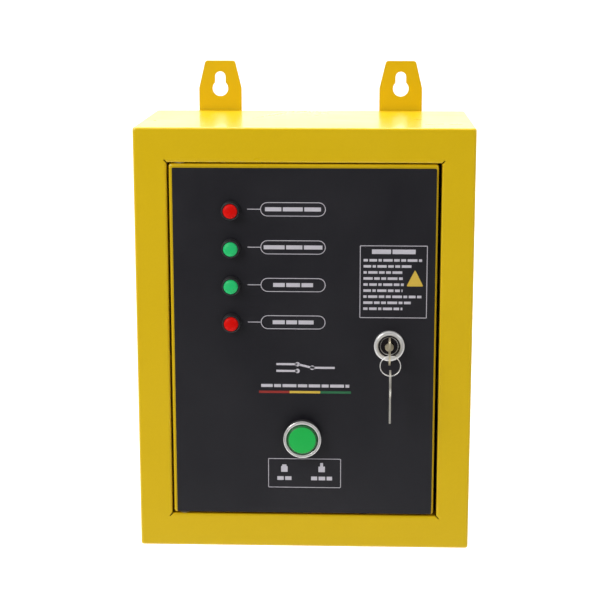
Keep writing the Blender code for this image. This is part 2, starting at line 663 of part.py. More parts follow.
def push_button(pivot):
    """Bezel with a bright front ring, latching cap with its stem, round nut and contact block."""
    place = (BUTTON_X, FIT_Y, BUTTON_Z)
    bore = CAP_RADIUS + GAP
    stem_bore = STEM_RADIUS + GAP
    floor = CAP_RISE - CAP_SKIRT - BUTTON_TRAVEL - GAP
    bezel = [
        (bore, BEZEL_RISE - 0.4 * MM), (bore + 0.4 * MM, BEZEL_RISE), (BEZEL_RADIUS - 0.4 * MM, BEZEL_RISE),
        (BEZEL_RADIUS, BEZEL_RISE - 0.5 * MM), (BEZEL_RADIUS, BEZEL_RISE - BEZEL_RING),
        (BEZEL_COLLAR_RADIUS, BEZEL_RISE - BEZEL_RING), (BEZEL_COLLAR_RADIUS, 0),
        (BUTTON_BARREL_RADIUS, 0), (BUTTON_BARREL_RADIUS, -BUTTON_BARREL),
        (stem_bore, -BUTTON_BARREL), (stem_bore, floor), (bore, floor),
    ]
    hang_on(turned_part("button_bezel", bezel, "bright_chrome", place, FACING_FRONT, FINE), pivot)
    nut = [circle(0, 0, BUTTON_NUT_RADIUS), circle(0, 0, BUTTON_BARREL_RADIUS + HOLE_CLEARANCE)]
    behind = (BUTTON_X, DOOR_BACK_Y + GAP + BUTTON_NUT_THICK / 2, BUTTON_Z)
    hang_on(flat_part("button_nut", nut, BUTTON_NUT_THICK, "black_plastic", behind, FACING_FRONT), pivot)
    rear = (BUTTON_X, FIT_Y + BUTTON_BARREL + GAP + CONTACT_BLOCK[1] / 2, BUTTON_Z)
    block = add_part("contact_block", boxes_mesh("contact_block", [((0, 0, 0), CONTACT_BLOCK)]),
                     "grey_plastic", rear)
    hang_on(soften(block, 0.8 * MM), pivot)
    slide = make_pivot("button_slide", place, pivot)
    cap_floor = CAP_RISE - CAP_SKIRT
    stem_end = BUTTON_TRAVEL - BUTTON_BARREL
    cap = [(0, CAP_RISE), (CAP_FLAT_RADIUS, CAP_RISE - 0.4 * MM), (CAP_RADIUS, CAP_RISE - 2.4 * MM),
           (CAP_RADIUS, cap_floor), (STEM_RADIUS, cap_floor), (STEM_RADIUS, stem_end), (0, stem_end)]
    hang_on(turned_part("button_cap", cap, "green_lens", place, FACING_FRONT, FINE), slide)


# ---- lock and keys

def lock(pivot):
    """Lock body and nut on the door; plug, cam and cam screw turn together."""
    place = (LOCK_X, FIT_Y, LOCK_Z)
    turn_gap = LOCK_TURN_CLEARANCE
    wide, narrow = PLUG_FACE_RADIUS + turn_gap, PLUG_RADIUS + turn_gap
    body = [
        (wide, LOCK_HEAD - 0.4 * MM), (wide + 0.4 * MM, LOCK_HEAD),
        (LOCK_HEAD_RADIUS - 0.6 * MM, LOCK_HEAD), (LOCK_HEAD_RADIUS, LOCK_HEAD - 0.6 * MM),
        (LOCK_HEAD_RADIUS, 0), (LOCK_BARREL_RADIUS, 0),
        (LOCK_BARREL_RADIUS, -LOCK_BARREL), (narrow, -LOCK_BARREL), (narrow, PLUG_STEP - turn_gap),
        (wide, PLUG_STEP - turn_gap),
    ]
    hang_on(turned_part("lock_body", body, "bright_chrome", place, FACING_FRONT, FINE), pivot)
    nut = [circle(0, 0, LOCK_NUT_RADIUS), circle(0, 0, LOCK_BARREL_RADIUS + HOLE_CLEARANCE)]
    behind = (LOCK_X, DOOR_BACK_Y + GAP + LOCK_NUT_THICK / 2, LOCK_Z)
    hang_on(flat_part("lock_nut", nut, LOCK_NUT_THICK, "zinc_steel", behind, FACING_FRONT), pivot)

    turning = make_pivot("lock_axis", place, pivot)
    cam_front = -LOCK_BARREL - turn_gap
    tail_end = cam_front - GAP - CAM_THICK
    screw_bore = CAM_SCREW_RADIUS + GAP
    plug = [
        (0, PLUG_FACE), (PLUG_FACE_RADIUS - 0.3 * MM, PLUG_FACE), (PLUG_FACE_RADIUS, PLUG_FACE - 0.3 * MM),
        (PLUG_FACE_RADIUS, PLUG_STEP), (PLUG_RADIUS, PLUG_STEP), (PLUG_RADIUS, cam_front),
        (TAIL_RADIUS, cam_front), (TAIL_RADIUS, tail_end), (screw_bore, tail_end),
        (screw_bore, tail_end + CAM_SCREW_LENGTH), (0, tail_end + CAM_SCREW_LENGTH),
    ]
    core = turned_part("lock_plug", plug, "key_metal", place, FACING_FRONT, ROUND)
    keyway_depth = KEYWAY_DEPTH + PLUG_FACE + CUT_MARGIN
    keyway = (KEY_THICK + 2 * GAP, keyway_depth, KEY_BLADE + 2 * GAP)
    centre = (LOCK_X, FIT_Y + KEYWAY_DEPTH - keyway_depth / 2, LOCK_Z)
    combine(core, add_cutter("keyway", boxes_mesh("keyway", [((0, 0, 0), keyway)]), centre))
    hang_on(core, turning)

    outline = (arc(0, 0, CAM_ROOT_RADIUS, 0, 180, 8)
               + arc(0, CAM_TIP_RADIUS - CAM_LENGTH, CAM_TIP_RADIUS, 180, 360, 8))
    loops = [outline, circle(0, 0, TAIL_RADIUS + GAP)]
    cam_centre = (LOCK_X, FIT_Y - cam_front + GAP + CAM_THICK / 2, LOCK_Z)
    hang_on(flat_part("lock_cam", loops, CAM_THICK, "zinc_steel", cam_centre, FACING_FRONT), turning)
    under_head = tail_end - GAP
    screw_tip = under_head + CAM_SCREW_LENGTH - GAP
    screw = [
        (0, screw_tip), (CAM_SCREW_RADIUS, screw_tip), (CAM_SCREW_RADIUS, under_head),
        (CAM_SCREW_HEAD_RADIUS, under_head),
        (CAM_SCREW_HEAD_RADIUS - 0.5 * MM, under_head - CAM_SCREW_HEAD),
        (0, under_head - CAM_SCREW_HEAD),
    ]
    hang_on(turned_part("cam_screw", screw, "zinc_steel", place, FACING_FRONT, SMALL), turning)
    return turning


def key_outline():
    """A key lying along local X, tip at 0, bow at the far end, bitting cut in one edge."""
    bow_x = KEY_LENGTH - BOW_RADIUS
    half = KEY_BLADE / 2
    neck = half + 0.9 * MM
    shoulder_x = bow_x - BOW_RADIUS - 1.0 * MM
    meet = math.degrees(math.asin(neck / BOW_RADIUS))
    bow = arc(bow_x, 0, BOW_RADIUS, meet - 180, 180 - meet, 20)
    teeth = []
    for number, cut in enumerate(BITTING):
        x = shoulder_x - BITTING_PITCH * (number + 1)
        teeth += [(x + 0.9 * MM, half), (x + 0.3 * MM, half - cut),
                  (x - 0.3 * MM, half - cut), (x - 0.9 * MM, half)]
    return [(0, 0), (1.8 * MM, -half), (shoulder_x, -half), (shoulder_x, -neck), *bow,
            (shoulder_x, neck), (shoulder_x, half), *teeth, (1.8 * MM, half)]


def key_blank(name, place, turn):
    loops = [key_outline(), circle(KEY_LENGTH - BOW_RADIUS + BOW_HOLE_OUT, 0, BOW_HOLE_RADIUS, 16)]
    return flat_part(name, loops, KEY_THICK, "key_metal", place, turn)


def keys(turning):
    """The key in the lock, the ring through its bow, and the spare key that hangs from the ring."""
    sliding = make_pivot("key_slide", (LOCK_X, FIT_Y, LOCK_Z), turning)
    home = key_blank("key", (LOCK_X, FIT_Y + KEY_TIP, LOCK_Z), (math.pi / 2, 0, -math.pi / 2))
    hang_on(home, sliding)

    swinging = make_pivot("ring_axis", (LOCK_X, RING_Y, WEB_Z), sliding)
    bpy.ops.mesh.primitive_torus_add(
        major_radius=RING_RADIUS, minor_radius=RING_WIRE, major_segments=28, minor_segments=6
    )
    made = bpy.context.active_object
    mesh = made.data
    mesh.name = "key_ring"
    bpy.data.objects.remove(made, do_unlink=True)
    hang_on(add_part("key_ring", mesh, "key_metal", (RING_X, RING_Y, RING_Z), FACING_FRONT), swinging)

    round_ring = make_pivot("spare_axis", (RING_X, RING_Y, RING_Z), swinging)
    hole_z = RING_Z - RING_RADIUS + RING_WIRE + GAP - BOW_HOLE_RADIUS
    tip_z = hole_z - (KEY_LENGTH - BOW_RADIUS + BOW_HOLE_OUT)
    hang_on(key_blank("spare_key", (RING_X, RING_Y, tip_z), (0, -math.pi / 2, 0)), round_ring)


# ---- inside

def mounting_plate():
    size = (PLATE_WIDTH, PLATE_STAND, PLATE_HEIGHT)
    centre = (0, PLATE_Y + PLATE_STAND / 2, 0)
    plate = add_part("mounting_plate", sides_of_box("mounting_plate", size, centre, 1), "zinc_steel")
    sheet_wall(plate, PLATE_SHEET)
    low, high = -PLATE_SHEET - CUT_MARGIN, CUT_MARGIN
    rods = [(x, z, SCREW_RADIUS + HOLE_CLEARANCE, low, high) for x, z in plate_screw_places()]
    rods.append((EARTH_X, TERMINAL_Z, EARTH_RADIUS + HOLE_CLEARANCE, low, high))
    rods_cut = rods_mesh("plate_holes", rods, SMALL)
    combine(plate, add_cutter("plate_holes", rods_cut, (0, PLATE_Y, 0), FACING_FRONT))


def plate_screw_places():
    x = PLATE_WIDTH / 2 - PLATE_SCREW_INSET
    z = PLATE_HEIGHT / 2 - PLATE_SCREW_INSET
    return [(-x, z), (x, z), (-x, -z), (x, -z)]


def plate_screw(number, x, z):
    shank = PLATE_STAND - 2 * GAP
    profile = [
        (0, SCREW_HEAD), (0.7 * SCREW_HEAD_RADIUS, SCREW_HEAD), (SCREW_HEAD_RADIUS, 0.5 * SCREW_HEAD),
        (SCREW_HEAD_RADIUS, 0), (SCREW_RADIUS, 0), (SCREW_RADIUS, -shank), (0, -shank),
    ]
    turned_part(f"plate_screw_{number}", profile, "zinc_steel", (x, ON_PLATE_Y, z), FACING_FRONT, SMALL)


def din_rail():
    """Top-hat rail: channel against the plate, two flanges in front."""
    web, flange = RAIL_WEB / 2, RAIL_HEIGHT / 2
    upper = [
        (0, web), (RAIL_SHEET - RAIL_DEPTH, web), (RAIL_SHEET - RAIL_DEPTH, flange),
        (-RAIL_DEPTH, flange), (-RAIL_DEPTH, web - RAIL_SHEET), (-RAIL_SHEET, web - RAIL_SHEET),
    ]
    lower = [(y, -z) for y, z in reversed(upper)]
    flat_part("din_rail", [upper + lower], RAIL_LENGTH, "zinc_steel", (0, ON_PLATE_Y, RAIL_Z), ALONG_X)


def stepped_outline(height, base, nose_height, depth, rear_y):
    """Side view of a rail device: full-height base and a lower nose in front of it."""
    half, nose = height / 2, nose_height / 2
    step_y = rear_y - base
    nose_y = step_y - 2 * MM
    front_y = rear_y - depth
    return [(rear_y, -half), (step_y, -half), (nose_y, -nose), (front_y, -nose),
            (front_y, nose), (nose_y, nose), (step_y, half), (rear_y, half)]


def contactor(name, x):
    """A contactor on the rail, with its contact carrier in a window in the nose."""
    outline = stepped_outline(CONTACTOR_HEIGHT, CONTACTOR_BASE, CONTACTOR_NOSE_HEIGHT,
                              CONTACTOR_DEPTH, ON_RAIL_Y)
    centre = (x, 0, RAIL_Z)
    body = flat_part(f"contactor_{name}", [outline], CONTACTOR_WIDTH, "cream_plastic", centre, ALONG_X)
    nose_y = ON_RAIL_Y - CONTACTOR_DEPTH
    window_depth = CARRIER_DEPTH + CARRIER_TRAVEL + CARRIER_CLEARANCE - CARRIER_PROUD
    window = ((0, window_depth / 2 - CUT_MARGIN / 2, 0),
              (CARRIER_WIDTH + 2 * CARRIER_CLEARANCE, window_depth + CUT_MARGIN,
               CARRIER_HEIGHT + 2 * CARRIER_CLEARANCE))
    cuts = [window]
    pole_pitch = CONTACTOR_WIDTH / 3
    slot_y = CONTACTOR_DEPTH - CONTACTOR_BASE + TERMINAL_SLOT[1] / 2 - CUT_MARGIN
    for pole in (-1, 0, 1):
        for end in (-1, 1):
            slot_z = end * (CONTACTOR_HEIGHT / 2 - TERMINAL_SLOT[2] / 2 + CUT_MARGIN)
            cuts.append(((pole * pole_pitch, slot_y, slot_z), TERMINAL_SLOT))
    cuts_mesh = boxes_mesh(f"contactor_{name}_cuts", cuts)
    combine(body, add_cutter(f"contactor_{name}_cuts", cuts_mesh, (x, nose_y, RAIL_Z)))
    slide = make_pivot(f"carrier_{name}_slide", (x, nose_y, RAIL_Z))
    size = (CARRIER_WIDTH, CARRIER_DEPTH, CARRIER_HEIGHT)
    place = (x, nose_y + CARRIER_DEPTH / 2 - CARRIER_PROUD, RAIL_Z)
    mesh = boxes_mesh(f"carrier_{name}", [((0, 0, 0), size)])
    hang_on(soften(add_part(f"carrier_{name}", mesh, "black_plastic", place), 0.6 * MM), slide)


def interlock():
    size = (INTERLOCK_WIDTH, INTERLOCK_DEPTH, INTERLOCK_HEIGHT)
    mesh = boxes_mesh("interlock", [((0, 0, 0), size)])
    centre = (0, ON_RAIL_Y - INTERLOCK_DEPTH / 2, RAIL_Z)
    soften(add_part("interlock", mesh, "grey_plastic", centre), 0.8 * MM)


def rail_module(name, width, x, finish):
    outline = stepped_outline(MODULE_HEIGHT, MODULE_BASE, MODULE_NOSE_HEIGHT, MODULE_DEPTH, ON_RAIL_Y)
    flat_part(name, [outline], width, finish, (x, 0, RAIL_Z), ALONG_X)


def rail_devices():
    centre = INTERLOCK_WIDTH / 2 + GAP + CONTACTOR_WIDTH / 2
    outer = centre + CONTACTOR_WIDTH / 2 + MODULE_SPACE
    contactor("mains", -centre)
    contactor("generator", centre)
    interlock()
    rail_module("fuse_holder", FUSE_WIDTH, -outer - FUSE_WIDTH / 2, "grey_plastic")
    rail_module("changeover_timer", TIMER_WIDTH, outer + TIMER_WIDTH / 2, "grey_plastic")


def control_board():
    """Circuit board with its four posts, and two relays on it."""
    width, thick, height = BOARD_SIZE
    board_y = ON_PLATE_Y - BOARD_STAND - thick / 2
    board = add_part("control_board", boxes_mesh("control_board", [((0, 0, 0), BOARD_SIZE)]),
                     "board_green", (BOARD_X, board_y, BOARD_Z))
    x, z = width / 2 - BOARD_POST_INSET, height / 2 - BOARD_POST_INSET
    rods = [(sx * x, sz * z, BOARD_POST_RADIUS, -thick / 4, thick / 2 + BOARD_STAND)
            for sx in (-1, 1) for sz in (-1, 1)]
    posts = add_cutter("board_posts", rods_mesh("board_posts", rods, SMALL), (BOARD_X, board_y, BOARD_Z),
                       (-math.pi / 2, 0, 0))
    combine(board, posts, "UNION")
    relay_y = board_y - thick / 2 - GAP - RELAY_SIZE[1] / 2
    for number, side in enumerate((-1, 1), 1):
        place = (BOARD_X + side * 0.28 * width, relay_y, BOARD_Z + 0.22 * height)
        mesh = boxes_mesh(f"relay_{number}", [((0, 0, 0), RELAY_SIZE)])
        soften(add_part(f"relay_{number}", mesh, "blue_plastic", place), 0.7 * MM)


def transformer():
    core_y = ON_PLATE_Y - TRANSFORMER_COIL[1] / 2
    body = add_part("transformer", boxes_mesh("transformer", [((0, 0, 0), TRANSFORMER_CORE)]),
                    "grey_plastic", (TRANSFORMER_X, core_y, TRANSFORMER_Z))
    coil = add_cutter("transformer_coil", boxes_mesh("transformer_coil", [((0, 0, 0), TRANSFORMER_COIL)]),
                      (TRANSFORMER_X, core_y, TRANSFORMER_Z))
    combine(body, coil, "UNION")


def terminal_block():
    outline = stepped_outline(TERMINAL_HEIGHT, 0.55 * TERMINAL_DEPTH, 0.4 * TERMINAL_HEIGHT, TERMINAL_DEPTH,
                              ON_PLATE_Y)
    centre = (TERMINAL_X, 0, TERMINAL_Z)
    flat_part("terminal_block", [outline], TERMINAL_LENGTH, "black_plastic", centre, ALONG_X)


def earth_stud():
    head_y = PLATE_SHEET + GAP
    profile = [(0, EARTH_LENGTH), (EARTH_RADIUS, EARTH_LENGTH - 0.6 * MM), (EARTH_RADIUS, -head_y),
               (1.6 * EARTH_RADIUS, -head_y), (1.6 * EARTH_RADIUS, -head_y - 2 * MM), (0, -head_y - 2 * MM)]
    turned_part("earth_stud", profile, "brass", (EARTH_X, PLATE_Y, TERMINAL_Z), FACING_FRONT, SMALL)
    loops = [hexagon(EARTH_NUT_FLATS), circle(0, 0, EARTH_RADIUS + HOLE_CLEARANCE, SMALL)]
    place = (EARTH_X, ON_PLATE_Y - EARTH_NUT_THICK / 2, TERMINAL_Z)
    flat_part("earth_nut", loops, EARTH_NUT_THICK, "brass", place, FACING_FRONT)


def smooth_route(points, steps):
    """Points along a smooth curve through the given ones."""
    ends = [points[0], *points, points[-1]]
    route = []
    for before, start, end, after in zip(ends, ends[1:], ends[2:], ends[3:]):
        for step in range(steps):
            t = step / steps
            route.append([0.5 * (2 * b + (c - a) * t + (2 * a - 5 * b + 4 * c - d) * t ** 2
                                 + (3 * b - a - 3 * c + d) * t ** 3)
                          for a, b, c, d in zip(before, start, end, after)])
    return route + [list(points[-1])]


def door_loom():
    """Wire loom: up off the plate, forward past the frame, and on to the back of the door."""
    behind_frame = FRONT_Y + RETURN_DEPTH
    on_door = DOOR_BACK_Y + LOOM_RADIUS + GAP
    route = [
        (LOOM_START_X + 6 * MM, ON_PLATE_Y - LOOM_RADIUS, LOOM_Z + 26 * MM),
        (LOOM_START_X + 2 * MM, ON_PLATE_Y - 3 * LOOM_RADIUS, LOOM_Z + 15 * MM),
        (LOOM_START_X - 2 * MM, 0.3 * FRONT_Y, LOOM_Z + 8 * MM),
        (LOOM_START_X - 4 * MM, 0.6 * FRONT_Y, LOOM_Z + 2 * MM),
        (HINGE_X - 6 * MM, behind_frame + 12 * MM, LOOM_Z),
        (HINGE_X + 4 * MM, behind_frame + 5 * MM, LOOM_Z - 2 * MM),
        (HINGE_X + 14 * MM, (behind_frame + on_door) / 2, LOOM_Z - 4 * MM),
        (HINGE_X + 24 * MM, on_door, LOOM_Z - 5 * MM),
        (HINGE_X + LOOM_ON_DOOR, on_door, LOOM_Z - 5 * MM),
    ]
    points = smooth_route(route, 3)
    curve = bpy.data.curves.new("door_loom", "CURVE")
    curve.dimensions = "3D"
    curve.bevel_depth = LOOM_RADIUS
    curve.bevel_resolution = 2
    curve.use_fill_caps = True
    spline = curve.splines.new("POLY")
    spline.points.add(len(points) - 1)
    for point, place in zip(spline.points, points):
        point.co = (*place, 1)
    loom = bpy.data.objects.new("door_loom", curve)
    PARTS.objects.link(loom)
    curve.materials.append(FINISHES["loom_black"])


def build():
    case_shell()
    back_panel()
    for number, x in enumerate(gland_places(), 1):
        cable_gland(number, x)

    pivot = make_pivot("door_axis", (HINGE_X, HINGE_Y, 0))
    door_panel(pivot)
    faceplate(pivot)
    for name, side in (("upper", 1), ("lower", -1)):
        hinge_pin(f"hinge_pin_{name}", side, pivot)
        hinge_washer(f"hinge_washer_{name}", side, pivot)
    for number, (z, colour) in enumerate(zip(lamp_heights(), LAMP_COLOURS), 1):
        lamp(number, z, colour, pivot)
    push_button(pivot)
    keys(lock(pivot))

    mounting_plate()
    for number, (x, z) in enumerate(plate_screw_places(), 1):
        plate_screw(number, x, z)
    din_rail()
    rail_devices()
    control_board()
    transformer()
    terminal_block()
    earth_stud()
    door_loom()

    for part in PARTS.objects:
        if part.type == "MESH":
            part.data.shade_smooth()
            part.data.set_sharp_from_angle(angle=math.radians(35))


build()
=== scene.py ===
import math

import bmesh
import bpy
import numpy as np
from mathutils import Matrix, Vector


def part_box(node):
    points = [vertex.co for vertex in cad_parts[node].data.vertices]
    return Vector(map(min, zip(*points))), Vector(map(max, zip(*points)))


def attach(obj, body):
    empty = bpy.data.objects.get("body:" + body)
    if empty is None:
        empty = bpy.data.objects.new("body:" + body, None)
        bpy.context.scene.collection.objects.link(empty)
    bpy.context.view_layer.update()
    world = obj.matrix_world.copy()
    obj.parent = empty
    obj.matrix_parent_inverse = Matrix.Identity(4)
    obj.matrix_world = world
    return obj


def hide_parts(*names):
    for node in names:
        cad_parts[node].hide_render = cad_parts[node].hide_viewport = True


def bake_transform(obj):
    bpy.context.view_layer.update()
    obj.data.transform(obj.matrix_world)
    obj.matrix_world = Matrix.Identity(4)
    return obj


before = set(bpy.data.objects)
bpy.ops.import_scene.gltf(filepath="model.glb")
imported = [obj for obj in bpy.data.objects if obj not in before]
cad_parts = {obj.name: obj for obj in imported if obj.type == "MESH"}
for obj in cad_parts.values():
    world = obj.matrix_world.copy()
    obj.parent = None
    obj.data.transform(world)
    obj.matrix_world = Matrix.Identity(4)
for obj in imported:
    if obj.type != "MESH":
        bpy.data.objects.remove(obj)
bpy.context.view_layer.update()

mm = 0.001
print("frame loaded:", len(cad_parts), "nodes")


# shapes: each is (points, faces), worked out on a grid in local axes a, b and h (h points out of the face)

axesOf = {
    "front": [[1, 0, 0], [0, 0, 1], [0, -1, 0]],
    "back": [[-1, 0, 0], [0, 0, 1], [0, 1, 0]],
    "up": [[1, 0, 0], [0, 1, 0], [0, 0, 1]],
    "down": [[1, 0, 0], [0, -1, 0], [0, 0, -1]],
    "right": [[0, 1, 0], [0, 0, 1], [1, 0, 0]],
    "sideways": [[0, -1, 0], [0, 0, 1], [-1, 0, 0]],
    "hanging": [[0, 0, 1], [0, 1, 0], [-1, 0, 0]],
}


def low(node):
    return np.array(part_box(node)[0])


def high(node):
    return np.array(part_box(node)[1])


def middle(node):
    return (low(node) + high(node)) / 2


def extent(node):
    return high(node) - low(node)


def place(shape, centre, facing="front"):
    points, faces = shape
    return points @ np.array(axesOf[facing], float) + np.array(centre, float), faces


def gather(shapes):
    # several shapes as one: the later ones' face numbers are shifted past the earlier points
    points, faces, start = [], [], 0
    for shape in shapes:
        points.append(shape[0])
        faces += [[number + start for number in face] for face in shape[1]]
        start += len(shape[0])
    return np.concatenate(points), faces


def loft(loops, ends="caps"):
    # row i of the grid is a closed loop; quads join each loop to the next, then the ends are capped or joined
    loops = np.asarray(loops, float)
    rows, columns = loops.shape[:2]
    number = np.arange(rows * columns).reshape(rows, columns)
    here = number if ends == "joined" else number[:-1]
    there = np.roll(number, -1, 0) if ends == "joined" else number[1:]
    quads = np.stack([here, np.roll(here, -1, 1), np.roll(there, -1, 1), there], -1).reshape(-1, 4)
    faces = quads.tolist()
    if ends == "caps":
        faces += [number[0][::-1].tolist(), number[-1].tolist()]
    return loops.reshape(-1, 3), faces


def roundOff(points, reach, steps=4, closed=False):
    # each corner P between A and B becomes (1-t)^2 S + 2t(1-t) P + t^2 E, with S and E `reach` away from P
    points = np.asarray(points, float)
    toBefore = np.roll(points, 1, 0) - points
    toAfter = np.roll(points, -1, 0) - points
    before = np.abs(toBefore).max(axis=1)
    after = np.abs(toAfter).max(axis=1)
    cut = np.minimum(reach, 0.48 * np.minimum(before, after))
    start = points + toBefore * (cut / before)[:, None]
    end = points + toAfter * (cut / after)[:, None]
    t = np.linspace(0, 1, steps + 1)[None, :, None]
    curve = (1 - t) ** 2 * start[:, None] + 2 * t * (1 - t) * points[:, None] + t ** 2 * end[:, None]
    if not closed:
        curve[0] = points[0]
        curve[-1] = points[-1]
    return curve.reshape(-1, points.shape[1])


def turned(profile, sides=64):
    # (r, h) carried round the axis: (r cos u, r sin u, h); a profile off the axis closes on itself
    radius, height = np.asarray(profile, float).T
    angle = np.linspace(0, 2 * math.pi, sides, endpoint=False)
    loops = np.stack([np.outer(radius, np.cos(angle)), np.outer(radius, np.sin(angle)),
                      np.outer(height, np.ones(sides))], -1)
    return loft(loops, "joined" if radius[0] > 0 else "open")


def polar(stations, sides=72):
    # like turned, but each station's radius may be an array over the angle: (r(u) cos u, r(u) sin u, h)
    angle = np.linspace(0, 2 * math.pi, sides, endpoint=False)
    loops = [np.stack([radius * np.cos(angle), radius * np.sin(angle), height + 0 * angle], -1)
             for radius, height in stations]
    return loft(loops, "joined")


def hexRadius(flats, sides=72):
    # distance to a hexagon's edge at each angle: (flats / 2) / cos(angle from the nearest flat's middle)
    angle = np.linspace(0, 2 * math.pi, sides, endpoint=False)
    return flats / 2 / np.cos((angle + math.pi / 6) % (math.pi / 3) - math.pi / 6)


def hexNut(flats, bore, thick):
    # hexagon to a chamfer circle at both faces, and a countersunk bore
    sharp = hexRadius(flats)
    domed = np.minimum(sharp, 0.54 * flats)
    chamfer = 0.09 * flats
    return polar([(domed, 0), (sharp, chamfer), (sharp, thick - chamfer), (domed, thick),
                  (bore + 0.4 * mm, thick), (bore, thick - 0.4 * mm), (bore, 0.4 * mm), (bore + 0.4 * mm, 0)])


def rectLoop(halfA, halfB, radius, steps=5):
    # a rectangle whose corners are quarter circles: corner centre + r (cos u, sin u)
    angle = np.linspace(0, math.pi / 2, steps + 1)[None, :] + np.arange(4)[:, None] * math.pi / 2
    signA = np.array([1, -1, -1, 1])[:, None]
    signB = np.array([1, 1, -1, -1])[:, None]
    return np.stack([signA * (halfA - radius) + radius * np.cos(angle),
                     signB * (halfB - radius) + radius * np.sin(angle)], -1).reshape(-1, 2)


def raised(loop, height):
    return np.column_stack([loop, np.full(len(loop), height)])


def block(size, radius, steps=3, corner=None):
    # rounded rectangles stacked along h, inset by r (1 - sin u) at r (1 - cos u) from either face
    halfA, halfB, depth = size[0] / 2, size[1] / 2, size[2]
    corner = corner or radius
    angle = np.linspace(0, math.pi / 2, steps + 1)
    inset = radius * (1 - np.sin(angle))
    rise = radius * (1 - np.cos(angle))
    stations = list(zip(inset, rise)) + list(zip(inset[::-1], depth - rise[::-1]))
    return loft([raised(rectLoop(halfA - i, halfB - i, max(corner - i, 0.05 * mm)), h) for i, h in stations])


def blocksAt(places, size):
    # plain thin blocks with one size each or all the same, as (a, b) or (a, b, width, height)
    corners = np.array([[x, y, z] for z in (0, 1) for x, y in ((-1, -1), (1, -1), (1, 1), (-1, 1))], float)
    ringFaces = [[3, 2, 1, 0], [4, 5, 6, 7]] + [[n, (n + 1) % 4, (n + 1) % 4 + 4, n + 4] for n in range(4)]
    shapes = []
    for spot in places:
        width, height = spot[2:4] if len(spot) == 4 else size[:2]
        shapes.append((corners * [width / 2, height / 2, size[2]] + [spot[0], spot[1], 0], ringFaces))
    return gather(shapes)


def ringBand(halfA, halfB, radius, width, thick):
    # a flat line of one width that follows a rounded rectangle
    outer, inner = rectLoop(halfA, halfB, radius), rectLoop(halfA - width, halfB - width, radius - width)
    return loft([raised(outer, 0), raised(outer, thick), raised(inner, thick), raised(inner, 0)], "joined")


def smoothPath(points, steps=8):
    # a Catmull-Rom curve through the points: cubic in t between each pair, with slopes from the neighbours
    points = np.asarray(points, float)
    p = np.vstack([2 * points[0] - points[1], points, 2 * points[-1] - points[-2]])
    t = np.linspace(0, 1, steps, endpoint=False)[None, :, None]
    a, b, c, d = (p[n:len(p) - 3 + n, None] for n in range(4))
    curve = 0.5 * (2 * b + (c - a) * t + (2 * a - 5 * b + 4 * c - d) * t ** 2
                   + (3 * b - a - 3 * c + d) * t ** 3)
    return np.vstack([curve.reshape(-1, 3), points[-1:]])


def tube(path, radius, sides=10, closed=False):
    # a circle carried along a path: p(s) + r(s) (cos u n(s) + sin u m(s)), n and m square to the path
    path = np.asarray(path, float)
    tangent = np.roll(path, -1, 0) - np.roll(path, 1, 0) if closed else np.gradient(path, axis=0)
    tangent /= np.linalg.norm(tangent, axis=1)[:, None]
    across = np.cross(tangent, [0.31, 0.52, 0.79])
    across /= np.linalg.norm(across, axis=1)[:, None]
    other = np.cross(tangent, across)
    angle = np.linspace(0, 2 * math.pi, sides, endpoint=False)[None, :, None]
    radius = np.broadcast_to(np.asarray(radius, float), len(path))[:, None, None]
    loops = path[:, None] + radius * (np.cos(angle) * across[:, None] + np.sin(angle) * other[:, None])
    return loft(loops, "joined" if closed else "caps")


def arc(centreA, centreB, radius, start, end, steps=24):
    # centre + r (cos u, sin u) from one angle to another, in degrees
    angle = np.radians(np.linspace(start, end, steps + 1))
    return np.column_stack([centreA + radius * np.cos(angle), centreB + radius * np.sin(angle)])


def flatSolid(outlines, thick):
    # outlines filled, with what lies inside another left open, and given a thickness; h runs from 0 to thick
    curve = bpy.data.curves.new("outline", "CURVE")
    curve.dimensions = "2D"
    curve.fill_mode = "BOTH"
    curve.extrude = thick / 2
    for outline in outlines:
        spline = curve.splines.new("POLY")
        spline.points.add(len(outline) - 1)
        spline.use_cyclic_u = True
        flat = np.column_stack([outline, np.zeros(len(outline)), np.ones(len(outline))])
        spline.points.foreach_set("co", flat.ravel())
    drawn = bpy.data.objects.new("outline", curve)
    bpy.context.scene.collection.objects.link(drawn)
    mesh = bpy.data.meshes.new_from_object(drawn.evaluated_get(bpy.context.evaluated_depsgraph_get()))
    bpy.data.objects.remove(drawn, do_unlink=True)
    points, faces = shapeOf(mesh)
    return points + [0, 0, thick / 2], faces


def meshOf(name, shape, weld=0.001 * mm, edge=0.0):
    # doubles merged, faces turned outwards, and sharp edges rounded by `edge` if it is given
    mesh = bpy.data.meshes.new(name)
    mesh.from_pydata(shape[0].tolist(), [], shape[1])
    grown = bmesh.new()
    grown.from_mesh(mesh)
    bmesh.ops.remove_doubles(grown, verts=grown.verts, dist=weld)
    bmesh.ops.dissolve_degenerate(grown, dist=weld, edges=grown.edges)
    bmesh.ops.recalc_face_normals(grown, faces=grown.faces)
    if edge:
        bmesh.ops.dissolve_limit(grown, angle_limit=0.01, verts=grown.verts, edges=grown.edges)
        rims = [line for line in grown.edges if len(line.link_faces) == 2 and line.calc_face_angle() > 0.9]
        bmesh.ops.bevel(grown, geom=rims, offset=edge, segments=2, profile=0.5, affect="EDGES",
                        clamp_overlap=True)
    grown.to_mesh(mesh)
    grown.free()
    return mesh


def shapeOf(mesh):
    points = np.empty(len(mesh.vertices) * 3)
    mesh.vertices.foreach_get("co", points)
    return points.reshape(-1, 3), [list(face.vertices) for face in mesh.polygons]


